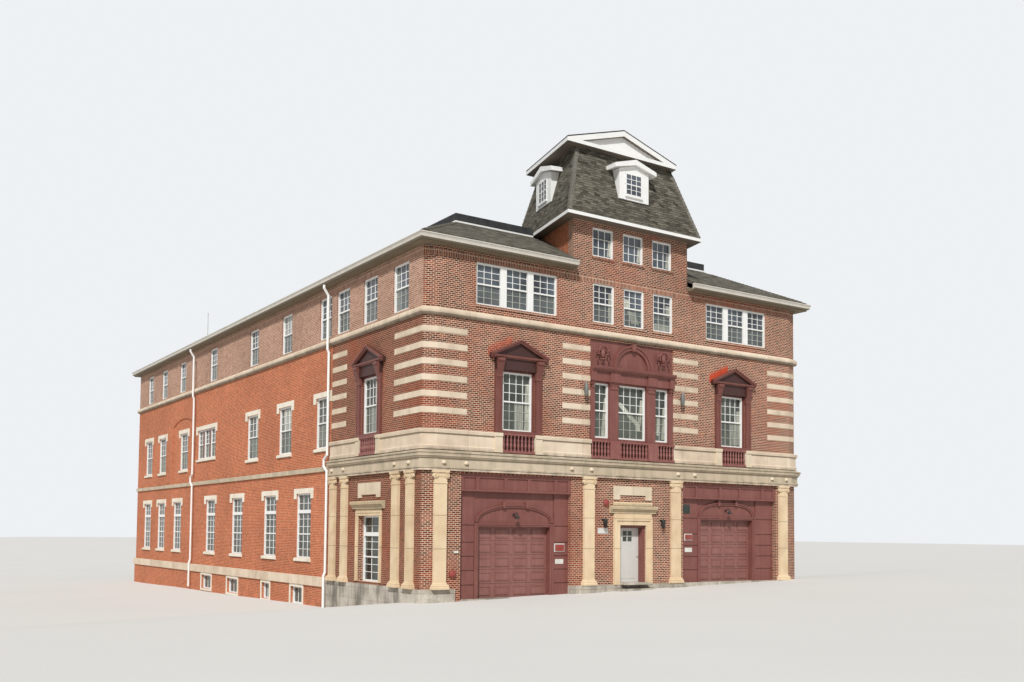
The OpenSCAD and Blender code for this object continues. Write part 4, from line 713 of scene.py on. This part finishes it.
def glass_faces():
    """The outer face of each window pane."""
    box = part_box("mansard_roof")
    tower_middle = (box[0] + box[1]) / 2
    faces = []
    for points, normal in groups("window_glass"):
        low, high = points.min(0), points.max(0)
        middle = Vector((low + high) / 2)
        out = Vector((normal[0], normal[1], 0)).normalized()
        if middle.z > TOWER_ROOF_Z:
            away = middle - tower_middle
        elif abs(out.x) > SQUARE_ON:
            away = Vector((middle.x, 0, 0))
        else:
            away = Vector((0, middle.y, 0))
        if out.dot(away) < 0:
            out = -out
        face = Face((0, 0, 0), out)
        us = [Vector(p).dot(face.along) for p in points]
        ws = [Vector(p).dot(face.out) for p in points]
        origin = face.along * min(us) + face.out * max(ws) + face.up * low[2]
        faces.append(Face(origin, out, max(us) - min(us), high[2] - low[2]))
    return faces


# Window bars: width of an upright or rail, the same behind a screen, and how far each stands out
BAR = 0.020
SCREEN_BAR = 0.013
BAR_OUT = 0.020
RAIL_OUT = BAR_OUT * 0.9
# A pane this wide has three sash units with posts between them, which carry boards on the long sides
TRIPLE_WIDE = 2.5
UNIT_POST = 0.26
BOARD_INSET = 0.03
BOARD_BACK, BOARD_OUT = 0.06, 0.09
# A pane less tall than this is in the basement or in the tower, and the sill says in which
SHORT_PANE = 1.2
TOWER_SILL = 10
# Second storey: range of the sills, how far back the long sides have the front's windows, and sizes of units
SECOND_STOREY = (6.0, 10.0)
NEAR_WINDOWS = 5
WIDE_UNIT, NARROW_UNIT = 1.0, 0.8
# Ground storey windows on the long sides: highest sill, lap of the frame over the pane, share of the height
# below the transom, and half height and depth of the meeting rail and of the transom
GROUND_SILL = 5.0
FRAME_LAP = 0.06
TRANSOM_SHARE = 0.72
MEETING_HALF, MEETING_DEPTH = 0.025, (0, 0.04)
TRANSOM_HALF, TRANSOM_DEPTH = 0.07, (0.005, 0.062)


def unit_spans(face):
    """Left and right edge of each sash unit in a pane: triple windows have three between posts."""
    if face.wide < TRIPLE_WIDE:
        return [(0.0, face.wide)]
    each = (face.wide - 2 * UNIT_POST) / 3
    return [(i * (each + UNIT_POST), i * (each + UNIT_POST) + each) for i in range(3)]


def pane_rows(face):
    """(columns, [(low, high, rows, behind a screen), ...]) for the sashes of a window."""
    sill, tall = face.origin.z, face.tall
    wide = unit_spans(face)[0][1]
    if tall < SHORT_PANE:
        return (3, [(0, tall, 3 if sill > TOWER_SILL else 1, False)])
    columns = 3
    if SECOND_STOREY[0] < sill < SECOND_STOREY[1]:
        if face.out.y < -SQUARE_ON or face.origin.y < FRONT_Y + NEAR_WINDOWS:
            columns = 4 if wide > WIDE_UNIT else 2
        if wide < NARROW_UNIT:
            columns = 2
    if sill < GROUND_SILL and face.on_long_side():
        glass_sill = sill - FRAME_LAP
        transom = glass_sill + (tall + 2 * FRAME_LAP) * TRANSOM_SHARE - sill
        lower, upper = (0, transom / 2, 3, False), (transom / 2, transom, 3, False)
        return (columns, [lower, upper, (transom, tall, 2, False)])
    return (columns, [(0, tall / 2, 3, True), (tall / 2, tall, 3, False)])


# Dormer windows: growth of the pane at its sides, foot and head, its thickness, its place before the glass,
# and the depths of its bars and rails
DORMER_SIDE, DORMER_FOOT, DORMER_HEAD = 0.08, 0.04, 0.14
DORMER_PANE = 0.02
DORMER_OUT = 0.118
DORMER_BARS = (DORMER_OUT - 0.01, DORMER_OUT + 0.015)
DORMER_RAILS = (DORMER_OUT - 0.01, DORMER_OUT + 0.014)
DORMER_COLUMNS, DORMER_ROWS = 3, 4


def dormer_window(face, panes, bars):
    """A sash window over the face of a dormer, a little larger than its opening."""
    left, right = -DORMER_SIDE, face.wide + DORMER_SIDE
    low, high = -DORMER_FOOT, face.tall + DORMER_HEAD
    face.box(panes, (left, right), (low, high), (DORMER_OUT - DORMER_PANE, DORMER_OUT))
    for i in range(DORMER_COLUMNS + 1):
        at = left + (right - left) * i / DORMER_COLUMNS
        half = BAR if i in (0, DORMER_COLUMNS) else BAR / 2
        face.box(bars, (at - half, at + half), (low, high), DORMER_BARS)
    for i in range(DORMER_ROWS + 1):
        at = low + (high - low) * i / DORMER_ROWS
        half = BAR / 2 if i % 2 else BAR
        face.box(bars, (left - BAR, right + BAR), (at - half, at + half), DORMER_RAILS)


def sash_bars(mesh, face, us, vs, columns, rows, bar):
    """The bars of one sash over the ranges us and vs."""
    left, right = us
    low, high = vs
    for i in range(1, columns):
        at = left + (right - left) * i / columns
        face.box(mesh, (at - bar / 2, at + bar / 2), vs, (0, BAR_OUT))
    for i in range(1, rows):
        at = low + (high - low) * i / rows
        face.box(mesh, us, (at - bar / 2, at + bar / 2), (0, RAIL_OUT))


def window_bars(finishes):
    """Glazing bars on the outside of every pane, thinner where an insect screen hangs before them."""
    clear, screened, boards = bmesh.new(), bmesh.new(), bmesh.new()
    dormer_glass = bmesh.new()
    for face in glass_faces():
        if face.origin.z > TOWER_ROOF_Z:
            dormer_window(face, dormer_glass, clear)
            continue
        columns, sashes = pane_rows(face)
        spans = unit_spans(face)
        if len(spans) == 3 and face.on_long_side():
            for before, after in zip(spans, spans[1:]):
                us = (before[1] + BOARD_INSET, after[0] - BOARD_INSET)
                face.box(boards, us, (0, face.tall), (BOARD_BACK, BOARD_OUT))
        for us in spans:
            for low, high, rows, screen in sashes:
                mesh, bar = (screened, SCREEN_BAR) if screen else (clear, BAR)
                sash_bars(mesh, face, us, (low, high), columns, rows, bar)
            if len(sashes) == 3:
                rail, head = sashes[0][1], sashes[1][1]
                face.box(clear, us, (rail - MEETING_HALF, rail + MEETING_HALF), MEETING_DEPTH)
                face.box(clear, us, (head - TRANSOM_HALF, head + TRANSOM_HALF), TRANSOM_DEPTH)
    mesh_piece("window_bars", clear, finishes["white"])
    mesh_piece("screened_window_bars", screened, finishes["screen_white"])
    mesh_piece("mullion_boards", boards, finishes["maroon"])
    mesh_piece("dormer_panes", dormer_glass, finishes["glass"])


# Wreaths: middle of each (x, z) on the bay's panels, and a scale for the bosses, which are written in metres
WREATHS = [(-1.50, 9.97), (1.50, 10.03)]
WREATH_SCALE = 1.08
PANEL_Y = FRONT_Y - 0.06
# Garland: leaves, start and turn in degrees, half width and height, and rise of its middle. A scroll is
# (u, v, radius)
GARLAND_LEAVES = 17
GARLAND_START, GARLAND_TURN = -25, 230
GARLAND_WIDE, GARLAND_TALL, GARLAND_UP = 0.19, 0.20, 0.05
SCROLLS = ((0.26, 0.10, 0.045), (0.30, 0.03, 0.034), (0.25, -0.03, 0.028), (0.24, -0.14, 0.030))


def wreath(mesh, face):
    """A carved oval with a garland over it, scrolls at its sides and small drops."""
    def boss(u, v, w, radii, tilt=0.0):
        spot = [n * WREATH_SCALE for n in (u, v, w)]
        face.ball(mesh, spot, [r * WREATH_SCALE for r in radii], tilt)

    boss(0, 0, 0.0, (0.085, 0.15, 0.06))
    boss(0, 0, 0.03, (0.055, 0.11, 0.045))
    for i in range(GARLAND_LEAVES):
        turn = math.radians(GARLAND_START + GARLAND_TURN * i / (GARLAND_LEAVES - 1))
        u, v = GARLAND_WIDE * math.cos(turn), GARLAND_UP + GARLAND_TALL * math.sin(turn)
        boss(u, v, 0.02, (0.042, 0.026, 0.045), math.degrees(turn) + 90)
    for side in (-1, 1):
        for u, v, r in SCROLLS:
            boss(side * u, v, 0.015, (r, r, 0.045))
        boss(side * 0.235, -0.21, 0.01, (0.024, 0.055, 0.035), side * 12)
        boss(side * 0.06, -0.19, 0.01, (0.045, 0.022, 0.035), side * -30)
    boss(0, 0.24, 0.02, (0.045, 0.035, 0.05))
    boss(0, -0.20, 0.01, (0.024, 0.050, 0.035))


def bay_ornaments(finish):
    """Two wreaths beside the blind arch of the centre bay."""
    mesh = bmesh.new()
    for x, z in WREATHS:
        wreath(mesh, Face((x, PANEL_Y, z), (0, -1, 0)))
    mesh_piece("bay_wreaths", mesh, finish)


# Hip caps: spacing and length of the shingles, width of each half, thickness, and lift of the two ends
CAP_STEP = 0.17
CAP_LONG = CAP_STEP * 1.25
CAP_WIDE = 0.14
CAP_THICK = 0.012
CAP_LIFT_LOW, CAP_LIFT_HIGH = CAP_THICK * 2.2, CAP_THICK * 0.6
# Stretch of a hip that is capped, as shares of its length
MANSARD_CAPPED = (0.02, 0.97)
MAIN_CAPPED = (0.05, 0.97)
# The main roof's hips start this far above its lowest edge, and run in this much for each metre up
HIP_FOOT = 0.12
RUN_TO_RISE = 2
# Corners are looked for this close to a height, with more weight on how far back a point lies at the rear
LEVEL_REACH = 0.02
REAR_WEIGHT = 2.0


def folded_shingle(mesh, low, high, sides, outward):
    """One shingle from low to high, folded over the hip: its top, its underside and their edges."""
    rows = []
    for spot, lift in ((low, CAP_LIFT_LOW), (high, CAP_LIFT_HIGH)):
        ridge = spot + outward * lift
        rows.append([ridge + sides[0] * CAP_WIDE, ridge, ridge + sides[1] * CAP_WIDE])
        rows.append([p - outward * CAP_THICK for p in rows[-1]])
    top_low, under_low, top_high, under_high = [[mesh.verts.new(p) for p in row] for row in rows]
    for j in range(2):
        mesh.faces.new((top_low[j], top_low[j + 1], top_high[j + 1], top_high[j]))
        mesh.faces.new((under_low[j + 1], under_low[j], under_high[j], under_high[j + 1]))
        mesh.faces.new((top_low[j + 1], top_low[j], under_low[j], under_low[j + 1]))
        mesh.faces.new((top_high[j], top_high[j + 1], under_high[j + 1], under_high[j]))
    for j in (0, 2):
        mesh.faces.new((top_low[j], top_high[j], under_high[j], under_low[j]))


def hip_caps(name, hips, finish):
    """Folded shingles laid over the hips. A hip is (foot, top, direction of the eaves on each side)."""
    mesh = bmesh.new()
    for foot, top, first, second in hips:
        foot, top = Vector(foot), Vector(top)
        run = (top - foot).normalized()
        sides = []
        for hint in (first, second):
            side = Vector(hint)
            sides.append((side - run * side.dot(run)).normalized())
        outward = -(sides[0] + sides[1]).normalized()
        for i in range(int((top - foot).length / CAP_STEP)):
            low = foot + run * (i * CAP_STEP)
            folded_shingle(mesh, low, low + run * CAP_LONG, sides, outward)
    bmesh.ops.recalc_face_normals(mesh, faces=mesh.faces)
    mesh_piece(name, mesh, finish)


def corner_points(node, height):
    """The four plan corners of a roof node near one height, from the front left round to the right."""
    points = np.array([v.co for v in NODES[node].data.vertices])
    level = points[np.abs(points[:, 2] - height) < LEVEL_REACH]
    picked = []
    for sx, sy in ((-1, -1), (1, -1), (1, 1), (-1, 1)):
        score = level[:, 0] * sx + level[:, 1] * sy * (REAR_WEIGHT if sy > 0 else 1.0)
        picked.append(Vector(level[np.argmax(score)]))
    return picked


def mansard_hips(finish):
    low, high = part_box("mansard_roof")
    feet = corner_points("mansard_roof", low.z)
    tops = corner_points("mansard_roof", high.z)
    start, end = MANSARD_CAPPED
    hips = []
    for i in range(4):
        before, after = feet[i - 1], feet[(i + 1) % 4]
        foot, run = feet[i], tops[i] - feet[i]
        hips.append((foot + run * start, foot + run * end, before - foot, after - foot))
    hip_caps("mansard_hip_caps", hips, finish)


def main_hips(finish):
    low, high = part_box("side_roof_slopes")
    rise = high.z - low.z - HIP_FOOT
    run = rise * RUN_TO_RISE
    start, end = MAIN_CAPPED
    hips = []
    for x, sx in ((low.x, 1), (high.x, -1)):
        for y, sy in ((low.y, 1), (high.y, -1)):
            foot = Vector((x, y, low.z + HIP_FOOT))
            top = foot + Vector((sx * run, sy * run, rise))
            hips.append((foot.lerp(top, start), foot.lerp(top, end), (sx, 0, 0), (0, sy, 0)))
    hip_caps("main_hip_caps", hips, finish)


# Bare plates and boxes on the wall and on the bay surrounds, whose strip lies this deep behind the front.
# Each is (left and right edge), (low and high edge)
STRIP_DEEP = 0.18
WALL_PLATE = ((-1.67, -1.19), (3.29, 3.49))
PALE_PLATES = [((-3.47, -3.11), (2.19, 2.36)), ((2.84, 3.22), (2.59, 2.76))]
RED_BOXES = [((-3.52, -3.07), (2.62, 2.92)), ((2.81, 3.22), (3.04, 3.31))]
SMALL_BOX = ((-7.80, -7.64), (2.60, 2.67))
DARK_PLATE = ((2.71, 3.10), (4.11, 4.46))
# Thickness of a plate, of a box's rim and the dark plate, and of a box, and the width of the rim
PLATE_OUT, RIM_OUT, BOX_OUT = 0.012, 0.02, 0.05
RIM = 0.035


def wall_fittings(finishes):
    """Blank plates on the wall and on the bay surrounds, and two red boxes with pale rims."""
    wall = Face((0, FRONT_Y, 0), (0, -1, 0))
    strip = Face((0, FRONT_Y + STRIP_DEEP, 0), (0, -1, 0))
    pale, red, dark = bmesh.new(), bmesh.new(), bmesh.new()
    wall.box(pale, *WALL_PLATE, (0, PLATE_OUT))
    wall.box(pale, *SMALL_BOX, (0, BOX_OUT))
    for us, vs in PALE_PLATES:
        strip.box(pale, us, vs, (0, PLATE_OUT))
    for us, vs in RED_BOXES:
        strip.box(pale, us, vs, (0, RIM_OUT))
        strip.box(red, (us[0] + RIM, us[1] - RIM), (vs[0] + RIM, vs[1] - RIM), (RIM_OUT, BOX_OUT))
    strip.box(dark, *DARK_PLATE, (0, RIM_OUT))
    mesh_piece("pale_plates", pale, finishes["plate"])
    mesh_piece("red_boxes", red, finishes["bell_red"])
    mesh_piece("dark_plate", dark, finishes["dark_green"])


# Vehicle doors: (left and right edge), (low and high edge) of each, and how far behind the front they lie
DOORS = [((-6.725, -3.700), (1.04, 3.50)), ((3.700, 6.650), (1.40, 3.88))]
DOOR_COLUMNS, DOOR_ROWS = 4, 5
DOOR_DEEP = 0.408
# Raised mouldings: distance from the edge of a door's panel, width, and height of the rails and the uprights
PANEL_EDGE = 0.105
MOULDING = 0.022
MOULDING_RAIL_OUT, MOULDING_OUT = 0.016, 0.015


def door_mouldings(finish):
    """A raised rectangle on each panel of the two vehicle doors."""
    mesh = bmesh.new()
    face = Face((0, FRONT_Y + DOOR_DEEP, 0), (0, -1, 0))
    for us, vs in DOORS:
        wide, tall = (us[1] - us[0]) / DOOR_COLUMNS, (vs[1] - vs[0]) / DOOR_ROWS
        for column in range(DOOR_COLUMNS):
            for row in range(DOOR_ROWS):
                left, low = us[0] + column * wide + PANEL_EDGE, vs[0] + row * tall + PANEL_EDGE
                right, high = left + wide - 2 * PANEL_EDGE, low + tall - 2 * PANEL_EDGE
                for at in (low, high - MOULDING):
                    face.box(mesh, (left, right), (at, at + MOULDING), (0, MOULDING_RAIL_OUT))
                for at in (left, right - MOULDING):
                    face.box(mesh, (at, at + MOULDING), (low, high), (0, MOULDING_OUT))
    mesh_piece("door_mouldings", mesh, finish)


# Ground: (distance behind the front, height at the left face), rise for each metre to the right, and the
# reach to the left and right over which it rises
GROUND_FALL = [(-18.0, 0.95), (0.0, 0.95), (8.0, 0.32), (24.0, 0.16), (37.0, 0.02), (60.0, 0.0)]
GROUND_TILT = 0.026
TILT_REACH = (-12.0, 30.0)
# Lines of the sheet: one a metre round the building and a few farther out
NEAR_X, NEAR_Y = range(-21, 22), range(-36, 41)
FAR = 260.0
FAR_X = (-FAR, -90, -50, -30, 30, 50, 90, FAR)
FAR_Y = (-FAR, -90, -60, -40, 60, 100, FAR)
# The sheet's opening lies this far inside the walls
OPENING_INSIDE = 0.35
SLACK = 0.01


def ground_z(x, y):
    """Height of the ground line round the building: it falls towards the rear and rises to the right."""
    back = min(max(y - FRONT_Y, GROUND_FALL[0][0]), GROUND_FALL[-1][0])
    for (y0, z0), (y1, z1) in zip(GROUND_FALL, GROUND_FALL[1:]):
        if y0 <= back <= y1:
            t = (back - y0) / (y1 - y0)
            fall = z0 + (z1 - z0) * t * t * (3 - 2 * t)
            break
    along = min(max(x - LEFT_X, TILT_REACH[0]), TILT_REACH[1])
    return fall + GROUND_TILT * along


def in_opening(low, high, opening):
    """True for the stretch between two lines of the sheet that lies in the opening."""
    return opening[0] - SLACK < low and high < opening[1] + SLACK


def make_ground():
    """A plain pale sheet that follows the ground line, open where the building stands."""
    f = Finish("pale_floor", roughness=0.95, specular=0.1)
    mist = f.range(f.noise(0.15, 3), 0.3, 0.7, 0.0, 0.25)
    finish = f.paint(f.mix(mist, colour("#dcdad5"), colour("#d2d0ca")))
    open_x = (LEFT_X + OPENING_INSIDE, RIGHT_X - OPENING_INSIDE)
    open_y = (FRONT_Y + OPENING_INSIDE, REAR_Y - OPENING_INSIDE)
    xs = sorted({*FAR_X, *NEAR_X, *open_x})
    ys = sorted({*FAR_Y, *NEAR_Y, *open_y})
    mesh = bmesh.new()
    grid = [[mesh.verts.new((x, y, ground_z(x, y))) for y in ys] for x in xs]
    for i in range(len(xs) - 1):
        for j in range(len(ys) - 1):
            if not (in_opening(xs[i], xs[i + 1], open_x) and in_opening(ys[j], ys[j + 1], open_y)):
                mesh.faces.new((grid[i][j], grid[i + 1][j], grid[i + 1][j + 1], grid[i][j + 1]))
    data = bpy.data.meshes.new("ground")
    mesh.to_mesh(data)
    mesh.free()
    data.materials.append(finish)
    for polygon in data.polygons:
        polygon.use_smooth = True
    ground = bpy.data.objects.new("ground", data)
    bpy.context.scene.collection.objects.link(ground)


# Light: strength of the sky's light, and energy, width in degrees and direction of the key lamp
SKY_STRENGTH = 0.37
KEY_ENERGY = 3.3
KEY_WIDTH = 4
KEY_AIM = (0.50, 0.56, -0.66)


def make_sky():
    """Soft light from all round. The camera and reflections see a brighter sky than the one that lights."""
    world = bpy.data.worlds.new("sky")
    bpy.context.scene.world = world
    world.use_nodes = True
    tree = world.node_tree
    tree.nodes.clear()
    out = tree.nodes.new("ShaderNodeOutputWorld")
    light = tree.nodes.new("ShaderNodeBackground")
    light.inputs["Color"].default_value = colour("#f1f4f8")
    light.inputs["Strength"].default_value = SKY_STRENGTH
    shown = tree.nodes.new("ShaderNodeBackground")
    shown.inputs["Color"].default_value = colour("#eef1f4")
    shown.inputs["Strength"].default_value = 1.0
    path = tree.nodes.new("ShaderNodeLightPath")
    share = tree.nodes.new("ShaderNodeMixShader")
    seen = path.outputs["Is Camera Ray"]
    for ray in ("Is Glossy Ray", "Is Transmission Ray"):
        either = tree.nodes.new("ShaderNodeMath")
        either.operation = "MAXIMUM"
        tree.links.new(seen, either.inputs[0])
        tree.links.new(path.outputs[ray], either.inputs[1])
        seen = either.outputs[0]
    tree.links.new(seen, share.inputs[0])
    tree.links.new(light.outputs[0], share.inputs[1])
    tree.links.new(shown.outputs[0], share.inputs[2])
    tree.links.new(share.outputs[0], out.inputs[0])


def make_key():
    """A soft key lamp from the front left."""
    lamp = bpy.data.lights.new("key", "SUN")
    lamp.energy = KEY_ENERGY
    lamp.angle = math.radians(KEY_WIDTH)
    key = bpy.data.objects.new("key", lamp)
    key.rotation_mode = "QUATERNION"
    key.rotation_quaternion = Vector(KEY_AIM).to_track_quat("-Z", "Y")
    bpy.context.scene.collection.objects.link(key)


make_camera()
make_sky()
make_key()
make_ground()
finishes = make_finishes()
dress_nodes(finishes)
window_bars(finishes)
bay_ornaments(finishes["maroon"])
mansard_hips(finishes["hip_cap"])
main_hips(finishes["hip_cap"])
wall_fittings(finishes)
door_mouldings(finishes["garage_red"])

bpy.context.scene.view_settings.view_transform = "Standard"
